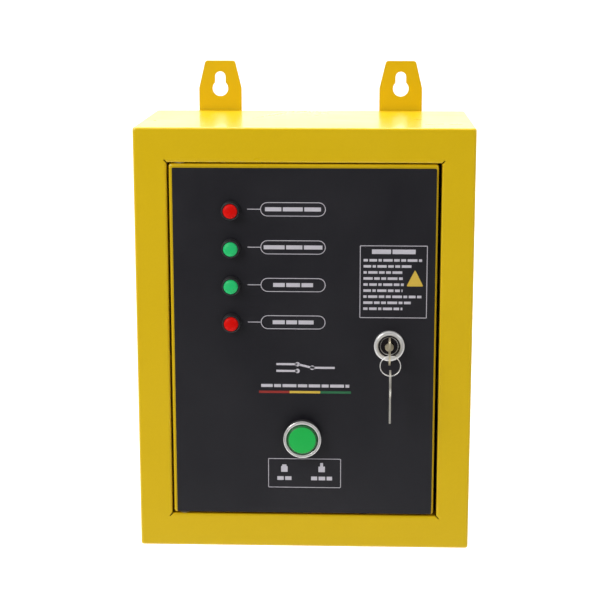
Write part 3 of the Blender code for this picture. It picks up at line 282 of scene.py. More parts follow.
def carve(shape, cutters):
    # a shape with other shapes taken out of it, one Boolean after another
    made = bpy.data.objects.new("carved", meshOf("carved", shape))
    tool = bpy.data.objects.new("cutter", meshOf("cutter", gather(cutters)))
    for thing in (made, tool):
        bpy.context.scene.collection.objects.link(thing)
    cut = made.modifiers.new("cut", "BOOLEAN")
    cut.operation = "DIFFERENCE"
    cut.solver = "EXACT"
    cut.use_self = True
    cut.object = tool
    bpy.context.view_layer.update()
    result = bpy.data.meshes.new_from_object(made.evaluated_get(bpy.context.evaluated_depsgraph_get()))
    for thing in (made, tool):
        bpy.data.objects.remove(thing, do_unlink=True)
    return shapeOf(result)


def piece(name, shape, finish, body, stands=(), sharp=40, edge=0.0):
    mesh = meshOf(name, shape, edge=edge)
    mesh.materials.append(finishes[finish])
    mesh.shade_smooth()
    mesh.set_sharp_from_angle(angle=math.radians(sharp))
    made = bpy.data.objects.new(name, mesh)
    bpy.context.scene.collection.objects.link(made)
    flat = made.modifiers.new("evenShading", "WEIGHTED_NORMAL")
    flat.keep_sharp = True
    if body:
        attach(made, body)
    if stands:
        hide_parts(*stands)
    return made


# shared effects

def newGroup(name, inputs, outputs):
    group = bpy.data.node_groups.new(name, "ShaderNodeTree")
    for label, value in inputs.items():
        socket = group.interface.new_socket(name=label, in_out="INPUT", socket_type="NodeSocketFloat")
        socket.default_value = value
    for label in outputs:
        group.interface.new_socket(name=label, in_out="OUTPUT", socket_type="NodeSocketFloat")
    return group, group.nodes.new("NodeGroupInput"), group.nodes.new("NodeGroupOutput")


def addNode(tree, kind, settings=(), **inputs):
    node = tree.nodes.new("ShaderNode" + kind)
    for label, value in dict(settings).items():
        setattr(node, label, value)
    for label, value in inputs.items():
        node.inputs[label.replace("_", " ")].default_value = value
    return node


def makeGrain():
    # fine noise on the object's own coordinates: height for bump, and a contrasty mask for colour
    tree, given, out = newGroup("grain", {"Scale": 800, "Detail": 2, "Contrast": 2}, ["Height", "Mask"])
    place = addNode(tree, "TexCoord")
    noise = addNode(tree, "TexNoise", Roughness=0.6)
    spread = addNode(tree, "Math", {"operation": "MULTIPLY_ADD"})
    shift = addNode(tree, "Math", {"operation": "MULTIPLY_ADD"})
    limit = addNode(tree, "Clamp")
    shift.inputs[1].default_value = -0.5
    shift.inputs[2].default_value = 0.5
    links = tree.links
    links.new(place.outputs["Object"], noise.inputs["Vector"])
    links.new(given.outputs["Scale"], noise.inputs["Scale"])
    links.new(given.outputs["Detail"], noise.inputs["Detail"])
    links.new(noise.outputs["Fac"], spread.inputs[0])
    links.new(given.outputs["Contrast"], spread.inputs[1])
    links.new(given.outputs["Contrast"], shift.inputs[0])
    links.new(shift.outputs[0], spread.inputs[2])
    links.new(spread.outputs[0], limit.inputs["Value"])
    links.new(noise.outputs["Fac"], out.inputs["Height"])
    links.new(limit.outputs[0], out.inputs["Mask"])
    return tree


def makeEdgeWear():
    # where a rounded normal leaves the true one there is an edge; noise breaks the line up
    tree, given, out = newGroup("edgeWear", {"Radius": 0.5 * mm, "Amount": 1, "Scale": 300}, ["Mask"])
    place = addNode(tree, "TexCoord")
    true = addNode(tree, "NewGeometry")
    soft = addNode(tree, "Bevel", {"samples": 4})
    dot = addNode(tree, "VectorMath", {"operation": "DOT_PRODUCT"})
    edge = addNode(tree, "MapRange", From_Min=0.995, From_Max=0.80, To_Min=0, To_Max=1)
    noise = addNode(tree, "TexNoise", Detail=4)
    broken = addNode(tree, "MapRange", From_Min=0.42, From_Max=0.62, To_Min=0, To_Max=1)
    both = addNode(tree, "Math", {"operation": "MULTIPLY"})
    scaled = addNode(tree, "Math", {"operation": "MULTIPLY", "use_clamp": True})
    links = tree.links
    links.new(given.outputs["Radius"], soft.inputs["Radius"])
    links.new(soft.outputs["Normal"], dot.inputs[0])
    links.new(true.outputs["Normal"], dot.inputs[1])
    links.new(dot.outputs["Value"], edge.inputs["Value"])
    links.new(place.outputs["Object"], noise.inputs["Vector"])
    links.new(given.outputs["Scale"], noise.inputs["Scale"])
    links.new(noise.outputs["Fac"], broken.inputs["Value"])
    links.new(edge.outputs["Result"], both.inputs[0])
    links.new(broken.outputs["Result"], both.inputs[1])
    links.new(both.outputs[0], scaled.inputs[0])
    links.new(given.outputs["Amount"], scaled.inputs[1])
    links.new(scaled.outputs[0], out.inputs["Mask"])
    return tree


def makeSmudge():
    # broad soft noise between two roughness values, as handled surfaces have
    tree, given, out = newGroup("smudge", {"Scale": 25, "Low": 0.3, "High": 0.4}, ["Roughness", "Mask"])
    place = addNode(tree, "TexCoord")
    noise = addNode(tree, "TexNoise", Detail=5, Roughness=0.65, Distortion=0.4)
    even = addNode(tree, "MapRange", From_Min=0.35, From_Max=0.65)
    spread = addNode(tree, "MapRange")
    links = tree.links
    links.new(place.outputs["Object"], noise.inputs["Vector"])
    links.new(given.outputs["Scale"], noise.inputs["Scale"])
    links.new(noise.outputs["Fac"], even.inputs["Value"])
    links.new(even.outputs["Result"], spread.inputs["Value"])
    links.new(given.outputs["Low"], spread.inputs["To Min"])
    links.new(given.outputs["High"], spread.inputs["To Max"])
    links.new(spread.outputs["Result"], out.inputs["Roughness"])
    links.new(even.outputs["Result"], out.inputs["Mask"])
    return tree


grainGroup = makeGrain()
edgeWearGroup = makeEdgeWear()
smudgeGroup = makeSmudge()


def addGroup(tree, group, **inputs):
    node = tree.nodes.new("ShaderNodeGroup")
    node.node_tree = group
    for label, value in inputs.items():
        node.inputs[label].default_value = value
    return node


def mixColour(tree, factor, first, second):
    node = addNode(tree, "Mix", {"data_type": "RGBA"})
    tree.links.new(factor, node.inputs[0])
    for socket, value in ((node.inputs[6], first), (node.inputs[7], second)):
        if isinstance(value, tuple):
            socket.default_value = (*value, 1)
        else:
            tree.links.new(value, socket)
    return node.outputs[2]


def makeFinish(name, look):
    # base colour with fine grain and broad drift, worn edges, drifting roughness and a bump
    finish = bpy.data.materials.new(name)
    finish.use_nodes = True
    tree = finish.node_tree
    shader = tree.nodes["Principled BSDF"]
    grain = addGroup(tree, grainGroup, Scale=look["grain"], Detail=look.get("detail", 2),
                     Contrast=look.get("contrast", 2))
    smudge = addGroup(tree, smudgeGroup, Scale=look.get("smudge", 25), Low=look["rough"][0],
                      High=look["rough"][1])
    fine = drift = mixColour(tree, grain.outputs["Mask"], look["colour"], look["speck"])
    if "drift" in look:
        broad = mixColour(tree, smudge.outputs["Mask"], look["colour"], look["drift"])
        half = addNode(tree, "Mix", {"data_type": "RGBA"}, Factor=0.5)
        tree.links.new(fine, half.inputs[6])
        tree.links.new(broad, half.inputs[7])
        drift = half.outputs[2]
    if "worn" in look:
        wear = addGroup(tree, edgeWearGroup, Radius=look.get("wearRadius", 0.5 * mm),
                        Amount=look.get("wear", 0.5), Scale=look.get("wearScale", 300))
        drift = mixColour(tree, wear.outputs["Mask"], drift, look["worn"])
    bump = addNode(tree, "Bump", Strength=1, Distance=look["bump"])
    tree.links.new(grain.outputs["Height"], bump.inputs["Height"])
    tree.links.new(drift, shader.inputs["Base Color"])
    tree.links.new(smudge.outputs["Roughness"], shader.inputs["Roughness"])
    tree.links.new(bump.outputs["Normal"], shader.inputs["Normal"])
    shader.inputs["Metallic"].default_value = look.get("metallic", 0)
    shader.inputs["Coat Weight"].default_value = look.get("coat", 0)
    shader.inputs["Coat Roughness"].default_value = look.get("coatRough", 0.05)
    shader.inputs["Specular IOR Level"].default_value = look.get("specular", 0.5)
    shader.inputs["Transmission Weight"].default_value = look.get("transmission", 0)
    shader.inputs["Subsurface Weight"].default_value = look.get("subsurface", 0)
    shader.inputs["Subsurface Scale"].default_value = 2 * mm
    if "glow" in look:
        shader.inputs["Emission Color"].default_value = (*look["colour"], 1)
        shader.inputs["Emission Strength"].default_value = look["glow"]
    return finish


looks = {
    "yellowPaint": dict(colour=(0.720, 0.480, 0.0030), speck=(0.665, 0.432, 0.0020),
                        drift=(0.745, 0.500, 0.0050),
                        rough=(0.27, 0.34), grain=650, bump=0.006 * mm, contrast=1.4, smudge=9,
                        worn=(0.86, 0.66, 0.12), wear=0.35, coat=0.22, coatRough=0.06, specular=0.35),
    "blackFace": dict(colour=(0.0058, 0.0052, 0.0085), speck=(0.0110, 0.0102, 0.0150),
                      drift=(0.0080, 0.0072, 0.0108),
                      rough=(0.36, 0.44), grain=1500, bump=0.012 * mm, contrast=3, detail=3, smudge=14,
                      specular=0.5),
    "printGrey": dict(colour=(0.60, 0.57, 0.62), speck=(0.52, 0.50, 0.55), rough=(0.45, 0.55), grain=2500,
                      bump=0.002 * mm),
    "printRed": dict(colour=(0.32, 0.022, 0.015), speck=(0.27, 0.018, 0.013), rough=(0.45, 0.55), grain=2500,
                     bump=0.002 * mm),
    "printYellow": dict(colour=(0.70, 0.48, 0.060), speck=(0.62, 0.42, 0.050), rough=(0.45, 0.55), grain=2500,
                        bump=0.002 * mm),
    "printGreen": dict(colour=(0.018, 0.15, 0.058), speck=(0.015, 0.13, 0.050), rough=(0.45, 0.55),
                       grain=2500,
                       bump=0.002 * mm),
    "nickel": dict(colour=(0.62, 0.60, 0.54), speck=(0.46, 0.44, 0.39), drift=(0.52, 0.50, 0.45),
                   rough=(0.24, 0.42), grain=1200, bump=0.006 * mm, metallic=0.6, smudge=120,
                   worn=(0.85, 0.83, 0.76), wear=0.8, wearRadius=0.3 * mm),
    # near-black metal for the lock plug: painted shade for the dark recess inside the lock's rim; its edges
    # wear bright
    "plugShadeAndWear": dict(colour=(0.035, 0.030, 0.034), speck=(0.020, 0.017, 0.020), rough=(0.20, 0.34),
                      grain=1500,
                      bump=0.006 * mm, metallic=0.8, smudge=150, worn=(0.75, 0.73, 0.70), wear=1.0,
                      wearRadius=0.35 * mm),
    "zinc": dict(colour=(0.56, 0.57, 0.56), speck=(0.44, 0.45, 0.45), drift=(0.60, 0.58, 0.50),
                 rough=(0.28, 0.46),
                 grain=420, bump=0.004 * mm, metallic=1, smudge=40, worn=(0.75, 0.75, 0.73), wear=0.4),
    "brass": dict(colour=(0.66, 0.46, 0.18), speck=(0.50, 0.33, 0.11), rough=(0.22, 0.40), grain=900,
                  bump=0.004 * mm, metallic=1, smudge=120),
    "blackPlastic": dict(colour=(0.016, 0.016, 0.017), speck=(0.026, 0.026, 0.028), rough=(0.34, 0.48),
                         grain=1400,
                         bump=0.008 * mm, smudge=60),
    "greyPlastic": dict(colour=(0.27, 0.28, 0.29), speck=(0.32, 0.33, 0.34), rough=(0.40, 0.52), grain=1300,
                        bump=0.010 * mm, smudge=50),
    "creamPlastic": dict(colour=(0.58, 0.56, 0.48), speck=(0.64, 0.62, 0.54), rough=(0.36, 0.50), grain=1300,
                         bump=0.010 * mm, smudge=50),
    "bluePlastic": dict(colour=(0.020, 0.085, 0.330), speck=(0.030, 0.110, 0.400), rough=(0.30, 0.42),
                        grain=1300,
                        bump=0.008 * mm, smudge=60),
    "greenPlastic": dict(colour=(0.030, 0.270, 0.080), speck=(0.040, 0.330, 0.100), rough=(0.30, 0.42),
                         grain=1300,
                         bump=0.008 * mm, smudge=60),
    "nylon": dict(colour=(0.72, 0.72, 0.68), speck=(0.62, 0.62, 0.58), rough=(0.40, 0.55), grain=1500,
                  bump=0.008 * mm, subsurface=0.1),
    "board": dict(colour=(0.010, 0.105, 0.035), speck=(0.016, 0.150, 0.050), rough=(0.22, 0.34), grain=260,
                  contrast=9, detail=0, bump=0.015 * mm, coat=0.3),
    "tape": dict(colour=(0.62, 0.42, 0.05), speck=(0.52, 0.34, 0.04), rough=(0.28, 0.40), grain=500,
                 bump=0.02 * mm),
    "darkSteel": dict(colour=(0.11, 0.11, 0.115), speck=(0.17, 0.17, 0.17), rough=(0.38, 0.55), grain=900,
                      bump=0.012 * mm, metallic=0.8),
    "redLens": dict(colour=(0.60, 0.0040, 0.0020), speck=(0.52, 0.0030, 0.0015), rough=(0.38, 0.50),
                    grain=500,
                    bump=0.006 * mm, specular=0.10, subsurface=0.25, glow=0.16),
    "greenLens": dict(colour=(0.016, 0.460, 0.140), speck=(0.012, 0.400, 0.120), rough=(0.38, 0.50),
                      grain=500,
                      bump=0.006 * mm, specular=0.25, subsurface=0.25, glow=0.22),
    # the cap's face glows though the button holds no lamp: painted light on the face
    "litCapGreen": dict(colour=(0.012, 0.420, 0.072), speck=(0.010, 0.380, 0.064), drift=(0.015, 0.460, 0.080),
                     rough=(0.30, 0.40), grain=700, bump=0.004 * mm, smudge=60, subsurface=0.2, specular=0.35,
                     glow=0.12),
    # the cap's bevel in a much darker copy of the cap's green: painted shade for the dark ring round its face
    "shadedCapGreen": dict(colour=(0.004, 0.115, 0.024), speck=(0.003, 0.095, 0.020), rough=(0.22, 0.32),
                      grain=700,
                      bump=0.006 * mm, coat=0.25, smudge=60, subsurface=0.1),
    "redPlastic": dict(colour=(0.42, 0.020, 0.012), speck=(0.50, 0.028, 0.018), rough=(0.32, 0.44),
                       grain=1300,
                       bump=0.008 * mm, smudge=60),
    "earthPlastic": dict(colour=(0.33, 0.40, 0.030), speck=(0.38, 0.46, 0.040), rough=(0.32, 0.44),
                         grain=1300,
                         bump=0.008 * mm, smudge=60),
    "rimMetal": dict(colour=(0.90, 0.89, 0.87), speck=(0.78, 0.77, 0.76), rough=(0.12, 0.24), grain=1600,
                     bump=0.004 * mm, metallic=0.45, smudge=110, worn=(0.92, 0.92, 0.90), wear=0.5),
    "keyHome": dict(colour=(0.50, 0.44, 0.31), speck=(0.38, 0.33, 0.22), drift=(0.56, 0.51, 0.38),
                    rough=(0.24, 0.42), grain=1200, bump=0.006 * mm, metallic=0.6, smudge=120,
                    worn=(0.80, 0.74, 0.58), wear=0.8, wearRadius=0.3 * mm),
    "boardTrace": dict(colour=(0.022, 0.200, 0.065), speck=(0.018, 0.170, 0.055), rough=(0.22, 0.34),
                       grain=260,
                       bump=0.004 * mm, coat=0.3),
    "sleeve": dict(colour=(0.012, 0.020, 0.045), speck=(0.018, 0.028, 0.060), rough=(0.22, 0.34), grain=600,
                   bump=0.004 * mm, coat=0.3),
}
for label, colour in {"wireBlack": (0.018, 0.018, 0.018), "wireRed": (0.48, 0.020, 0.014),
                      "wireBrown": (0.14, 0.055, 0.022),
                      "wireWhite": (0.62, 0.62, 0.60), "wireEarth": (0.30, 0.42, 0.030)}.items():
    looks[label] = dict(colour=colour, speck=tuple(0.8 * part for part in colour), rough=(0.35, 0.48),
                        grain=900,
                        bump=0.01 * mm)

finishes = {name: makeFinish(name, look) for name, look in looks.items()}
print("finishes:", len(finishes))


# camera, lights and stage

shot = dict(lens=94.34, position=(0.0423, -1.2981, 0.2734), forward=(-0.0358, 0.9778, -0.2066))


def setCamera():
    eye = bpy.data.cameras.new("camera")
    eye.lens = shot["lens"]
    eye.sensor_width = 36
    eye.clip_start = 0.01
    camera = bpy.data.objects.new("camera", eye)
    camera.location = shot["position"]
    camera.rotation_euler = Vector(shot["forward"]).to_track_quat("-Z", "Y").to_euler()
    bpy.context.scene.collection.objects.link(camera)
    bpy.context.scene.camera = camera


def addLight(name, position, target, size, power, colour=(1, 1, 1)):
    lamp = bpy.data.lights.new(name, "AREA")
    lamp.shape = "RECTANGLE"
    lamp.size, lamp.size_y = size
    lamp.energy = power
    lamp.color = colour
    holder = bpy.data.objects.new(name, lamp)
    holder.location = position
    holder.rotation_euler = (Vector(target) - Vector(position)).to_track_quat("-Z", "Y").to_euler()
    bpy.context.scene.collection.objects.link(holder)


def setStage():
    plaster = bpy.data.materials.new("paleFloor")
    plaster.use_nodes = True
    shader = plaster.node_tree.nodes["Principled BSDF"]
    shader.inputs["Base Color"].default_value = (0.88, 0.88, 0.88, 1)
    shader.inputs["Roughness"].default_value = 0.9
    # a floor that sweeps up behind: a profile of (y, z) drawn out sideways
    level, side = -0.62, 9
    profile = roundOff([(-0.9, level), (3.4, level), (3.4, 6.0)], 1.8, 16)
    rows = [[(x, y, z) for y, z in profile] for x in (-side, side)]
    points, faces = loft(rows, "open")
    mesh = bpy.data.meshes.new("floor")
    mesh.from_pydata(points.tolist(), [], faces[:-1])
    mesh.shade_smooth()
    mesh.materials.append(plaster)
    floor = bpy.data.objects.new("floor", mesh)
    bpy.context.scene.collection.objects.link(floor)
    # the room is white behind the box, dim in front of it, and a little lighter low in front
    world = bpy.data.worlds.new("room")
    world.use_nodes = True
    tree = world.node_tree
    direction = addNode(tree, "TexCoord")
    parts = addNode(tree, "SeparateXYZ")
    depth = addNode(tree, "MapRange", {"interpolation_type": "SMOOTHSTEP"}, From_Min=-0.75, From_Max=0.25,
                    To_Min=0.08, To_Max=1.05)
    lower = addNode(tree, "MapRange", {"interpolation_type": "SMOOTHSTEP"}, From_Min=-0.05, From_Max=-0.45,
                    To_Min=0, To_Max=0.34)
    both = addNode(tree, "Math", {"operation": "ADD"})
    tree.links.new(direction.outputs["Generated"], parts.inputs["Vector"])
    tree.links.new(parts.outputs["Y"], depth.inputs["Value"])
    tree.links.new(parts.outputs["Z"], lower.inputs["Value"])
    tree.links.new(depth.outputs["Result"], both.inputs[0])
    tree.links.new(lower.outputs["Result"], both.inputs[1])
    tree.links.new(both.outputs[0], tree.nodes["Background"].inputs["Strength"])
    tree.nodes["Background"].inputs["Color"].default_value = (1, 1, 1, 1)
    bpy.context.scene.world = world
    bpy.context.scene.view_settings.view_transform = "Standard"
    addLight("keyLight", (-1.5, -1.7, 1.3), (0, -0.1, 0), (1.2, 1.2), 39)
    addLight("fillLight", (1.5, -1.6, 1.0), (0, -0.1, 0), (1.0, 1.0), 8)
    addLight("topLight", (0, 0.1, 1.9), (0, -0.1, 0.1), (1.6, 1.0), 1.5)
    addLight("sweepLight", (0, 0.9, 3.0), (0, 2.9, 0.0), (5, 2), 210)


setCamera()
setStage()
print("camera and lights set")


# small shapes used by several pieces

def rod(radius, start, end, sides=48):
    return turned([(0, start), (radius, start), (radius, end), (0, end)], sides)


def turnedBy(shape, degrees):
    # turned in its own a-b plane
    c, s = math.cos(math.radians(degrees)), math.sin(math.radians(degrees))
    return shape[0] @ np.array([[c, s, 0], [-s, c, 0], [0, 0, 1]]), shape[1]


def movedTo(shape, offset):
    return shape[0] + np.asarray(offset, float), shape[1]


def slab(width, height, depth, degrees=0):
    return turnedBy(blocksAt([(0, 0)], (width, height, depth)), degrees)


def threads(radius, start, end, pitch=1.0 * mm, deep=0.35 * mm):
    # a profile that goes in and out by the thread's depth every half pitch
    count = int(round(abs(end - start) / pitch * 2))
    heights = np.linspace(start, end, count + 1)
    return [(radius - deep * (n % 2), height) for n, height in enumerate(heights)]


def makeScrewHead(radius, height, recess="cross"):
    # domed head with a driver recess
    dome = [(0, height)] + [(radius * math.sin(t), height * (0.45 + 0.55 * math.cos(t)))
                            for t in np.linspace(0.2, 1.45, 9)] + [(radius, 0), (0, 0)]
    wide, deep = 0.26 * radius, 0.55 * height
    cuts = [movedTo(slab(1.25 * radius, wide, deep + height), (0, 0, height - deep))]
    if recess == "cross":
        cuts.append(movedTo(slab(wide, 1.25 * radius, deep + height), (0, 0, height - deep)))
    elif recess == "slot":
        cuts = [movedTo(slab(2.2 * radius, wide, deep + height), (0, 0, height - deep))]
    return carve(turned(dome, 40), cuts)


def wire(points, radius=0.8 * mm, steps=7, sides=9):
    return tube(smoothPath(points, steps), radius, sides)


# case: folded sheet round the front frame, sides and rear lip

case = dict(sheet=1.2 * mm, openX=100.5 * mm, openZ=134.5 * mm, flange=16 * mm, lip=15 * mm, corner=2.0 * mm,
            slitLong=5.5 * mm, slitWide=0.9 * mm, ventRadius=1.3 * mm, glandHole=10.1 * mm, pinHole=2.3 * mm)


def makeCaseShell():
    sheet, openX, openZ = case["sheet"], case["openX"], case["openZ"]
    halfX, halfZ = high("case_shell")[0], high("case_shell")[2]
    rear, front = -high("case_shell")[1], -low("case_shell")[1]
    inside = case["corner"] - sheet
    lipX, lipZ = halfX - case["lip"], halfZ - case["lip"]
    section = [
        (lipX, lipZ, case["corner"], rear), (halfX, halfZ, case["corner"], rear),
        (halfX, halfZ, case["corner"], front), (openX, openZ, inside, front),
        (openX, openZ, inside, front - case["flange"]),
        (openX + sheet, openZ + sheet, case["corner"], front - case["flange"]),
        (openX + sheet, openZ + sheet, case["corner"], front - sheet),
        (halfX - sheet, halfZ - sheet, inside, front - sheet),
        (halfX - sheet, halfZ - sheet, inside, rear + sheet),
        (lipX, lipZ, case["corner"], rear + sheet),
    ]
    reach = np.array([0.2, 2.2, 2.4, 1.6, 0.25, 0.25, 0.5, 1.2, 1.0, 0.2]) * mm
    stations = roundOff(section, reach, 5, closed=True)
    shell = loft([raised(rectLoop(x, z, corner, 6), h) for x, z, corner, h in stations], "joined")
    cuts = []
    for side in (-1, 1):
        for end in (-1, 1):
            slit = slab(case["slitLong"], case["slitWide"], case["flange"] + 2 * mm, side * end * 45)
            cuts.append(place(slit, (side * openX, -front + case["flange"] + 1 * mm, end * openZ)))
    for node in ("gland_1", "gland_2", "gland_3"):
        centre = middle(node)
        cuts.append(place(rod(case["glandHole"], -halfZ - 2 * mm, 4 * mm - halfZ), (centre[0], centre[1], 0),
                          "up"))
    for node in ("hinge_pin_upper", "hinge_pin_lower"):
        centre = middle(node)
        level = math.copysign(openZ, centre[2])
        cuts.append(place(rod(case["pinHole"], level - 3 * mm, level + 3 * mm, 24), (centre[0], centre[1], 0),
                          "up"))
    cuts.append(place(rod(case["ventRadius"], halfZ - 3 * mm, halfZ + 1 * mm, 24),
                      (10 * mm - halfX, 53 * mm - front, 0),
                      "up"))
    piece("caseShell", carve(place(shell, (0, 0, 0)), cuts), "yellowPaint", "case", ["case_shell"])


ear = dict(width=34.6 * mm, topWidth=24 * mm, shoulder=18 * mm, corner=2.5 * mm, spacing=146 * mm,
           holeRadius=6.25 * mm, holeRise=17.7 * mm, slotRadius=4.2 * mm, slotRise=27 * mm, caseTop=160 * mm)


def earEdge(centreX):
    half, topHalf = ear["width"] / 2, ear["topWidth"] / 2
    shoulder, top = ear["caseTop"] + ear["shoulder"], high("back_panel")[2]
    lean = math.degrees(math.atan2(half - topHalf, top - shoulder))
    reach = ear["corner"] / math.tan(math.radians(45 + lean / 2))
    right = arc(topHalf - reach, top - ear["corner"], ear["corner"], lean, 90, 10)
    left = right[::-1] * [-1, 1]
    foot = ear["caseTop"] - 0.8 * mm
    edge = np.vstack([[(half, foot), (half, shoulder)], right, left, [(-half, shoulder), (-half, foot)]])
    return edge + [centreX, 0]


def keyhole(centreX):
    meet = math.degrees(math.acos(ear["slotRadius"] / ear["holeRadius"]))
    return np.vstack([
        arc(centreX, ear["caseTop"] + ear["holeRise"], ear["holeRadius"], 180 - meet, 360 + meet, 44),
        arc(centreX, ear["caseTop"] + ear["slotRise"], ear["slotRadius"], 0, 180, 24)])


def makeBackPanel():
    halfX, bottom = high("back_panel")[0], low("back_panel")[2]
    top = ear["caseTop"] - 0.8 * mm
    outline = np.vstack([[(-halfX, bottom), (halfX, bottom), (halfX, top)], earEdge(ear["spacing"] / 2),
                         earEdge(-ear["spacing"] / 2), [(-halfX, top)]])
    sheet = flatSolid([outline, keyhole(-ear["spacing"] / 2), keyhole(ear["spacing"] / 2)], 1.5 * mm)
    piece("backPanel", place(sheet, (0, 0, 0)), "yellowPaint", "case", ["back_panel"], edge=0.3 * mm)


makeCaseShell()
makeBackPanel()
print("case done")


# door: folded tray with its black faceplate and the printing on it

def doorHoles(extra=0.0):
    lamps = [(middle(f"lamp_body_{n}")[0], middle(f"lamp_body_{n}")[2], 5.0 * mm + extra) for n in (1, 2, 3,
                                                                                                    4)]
    lock, button = middle("lock_body"), middle("button_bezel")
    return lamps + [(lock[0], lock[2], 9.7 * mm + extra), (button[0], button[2], 11.3 * mm + extra)]


def makeDoorPanel():
    sheet = case["sheet"]
    centre, half = middle("door_panel"), extent("door_panel") / 2
    front, rear = half[1], -half[1]
    section = [
        (0.6 * half[0], 0.6 * half[2], 2 * mm, front), (half[0], half[2], 2 * mm, front),
        (half[0], half[2], 2 * mm, rear), (half[0] - sheet, half[2] - sheet, 0.8 * mm, rear),
        (half[0] - sheet, half[2] - sheet, 0.8 * mm, front - sheet),
        (0.6 * half[0], 0.6 * half[2], 2 * mm, front - sheet),
    ]
    reach = np.array([0, 2.0, 0.25, 0.25, 1.0, 0]) * mm
    tray = loft([raised(rectLoop(x, z, corner, 6), h) for x, z, corner, h in roundOff(section, reach, 5)])
    cuts = [place(rod(radius, -3 * mm, 3 * mm), (x, low("door_panel")[1], z)) for x, z, radius in doorHoles()]
    for node in ("hinge_pin_upper", "hinge_pin_lower"):
        spot = middle(node)
        level = math.copysign(half[2], spot[2])
        cuts.append(place(rod(case["pinHole"], level - 3 * mm, level + 3 * mm, 24), (spot[0], spot[1], 0),
                          "up"))
    piece("doorPanel", carve(place(tray, centre), cuts), "yellowPaint", "door", ["door_panel"])


def makeFaceplate():
    centre, half = middle("faceplate"), extent("faceplate") / 2
    outline = rectLoop(half[0], half[2], 1.0 * mm, 8) + [centre[0], centre[2]]
    circles = [arc(x, z, radius, 0, 360, 48)[:-1] for x, z, radius in doorHoles()]
    sheet = place(flatSolid([outline, *circles], 2 * half[1]), (0, high("faceplate")[1], 0))
    piece("faceplate_skin", sheet, "blackFace", "door", ["faceplate"], edge=0.25 * mm)


ink = dict(thick=0.10 * mm, sunk=0.05 * mm, line=0.5 * mm)


def printed(name, shape, finish="printGrey"):
    # printing stands a little proud of the faceplate's front
    front = low("faceplate")[1]
    piece(name, place(shape, (0, front + ink["sunk"], 0)), finish, "door", sharp=30)


def stroke(points, width):
    # a flat line: the path offset to both sides by half its width, square to each stretch, mitred at bends
    path = np.asarray(points, float)
    before = np.vstack([path[1] - path[0], np.diff(path, axis=0)])
    after = np.vstack([np.diff(path, axis=0), path[-1] - path[-2]])
    before /= np.linalg.norm(before, axis=1)[:, None]
    after /= np.linalg.norm(after, axis=1)[:, None]
    along = before + after
    along /= np.linalg.norm(along, axis=1)[:, None]
    square = np.column_stack([-along[:, 1], along[:, 0]])
    mitre = width / 2 / np.maximum((along * before).sum(1), 0.4)
    left, right = path + square * mitre[:, None], path - square * mitre[:, None]
    top = ink["thick"]
    return loft([[(*left[n], 0), (*left[n], top), (*right[n], top),
                  (*right[n], 0)] for n in range(len(path))])


def dashes(startX, endX, z, height, words):
    # a row of bars in place of words, each a word's length, until the row is full
    shapes, x, n = [], startX, 0
    while x < endX - 0.8 * mm:
        wide = min(words[n % len(words)] * mm, endX - x)
        shapes.append(movedTo(slab(wide, height, ink["thick"]), (x + wide / 2, z, 0)))
        x += wide + 1.1 * mm
        n += 1
    return gather(shapes)


def boxLine(left, right, bottom, top, corner, width=None):
    band = ringBand((right - left) / 2, (top - bottom) / 2, corner, width or ink["line"], ink["thick"])
    return movedTo(band, ((left + right) / 2, (bottom + top) / 2, 0))


labels = dict(left=-32 * mm, right=16 * mm, high=10.4 * mm, leader=-41.6 * mm, top=100.4 * mm,
              pitch=28.2 * mm,
              words=[(12.0, 14.6, 12.2), (15.4, 12.0, 13.6), (8.6, 10.2, 8.5), (9.0, 8.0, 11.2)])


def makeLampLabels():
    shapes = []
    for number, words in enumerate(labels["words"]):
        z = labels["top"] - number * labels["pitch"]
        half = labels["high"] / 2
        shapes.append(boxLine(labels["left"], labels["right"], z - half, z + half, half - 0.05 * mm))
        shapes.append(movedTo(slab(labels["left"] - labels["leader"], ink["line"], ink["thick"]),
                              ((labels["left"] + labels["leader"]) / 2, z, 0)))
        row = sum(words) * mm + 2.2 * mm
        start = (labels["left"] + labels["right"]) / 2 - row / 2
        shapes.append(dashes(start, start + row, z, 3.0 * mm, words))
    printed("lampLabels", gather(shapes))


notes = dict(left=41.2 * mm, right=90.8 * mm, bottom=19.6 * mm, top=74.0 * mm, rows=9, pitch=4.55 * mm,
             words=(3.2, 5.6, 2.4, 6.8, 4.1, 3.6, 7.2, 2.8, 5.0),
             sign=(75.6 * mm, 88.0 * mm, 43.6 * mm, 56.0 * mm))


def makeNotePanel():
    left, right, top = notes["left"], notes["right"], notes["top"]
    shapes = [boxLine(left, right, notes["bottom"], top, 0.6 * mm),
              dashes(left + 8.8 * mm, right - 8.8 * mm, top - 4.6 * mm, 3.4 * mm, (14.0, 16.9))]
    for n in range(notes["rows"]):
        z = top - 11.0 * mm - n * notes["pitch"]
        beside = notes["sign"][2] - 1.5 * mm < z < notes["sign"][3] + 1.5 * mm
        end = notes["sign"][0] - 2 * mm if beside else right - (4 + 7 * (n % 3)) * mm
        words = notes["words"][n % 4:] + notes["words"][:n % 4]
        shapes.append(dashes(left + 2.7 * mm, end, z, 1.9 * mm, words))
    printed("notePanel", gather(shapes))
    a, b, c, d = notes["sign"]
    triangle = roundOff([(a, c), (b, c), ((a + b) / 2, d)], 1.1 * mm, 5, closed=True)
    printed("noteSign", loft([raised(triangle, 0), raised(triangle, ink["thick"])]), "printYellow")


title = dict(left=-20.6 * mm, right=23.0 * mm, low=-23.0 * mm, high=-14.6 * mm)


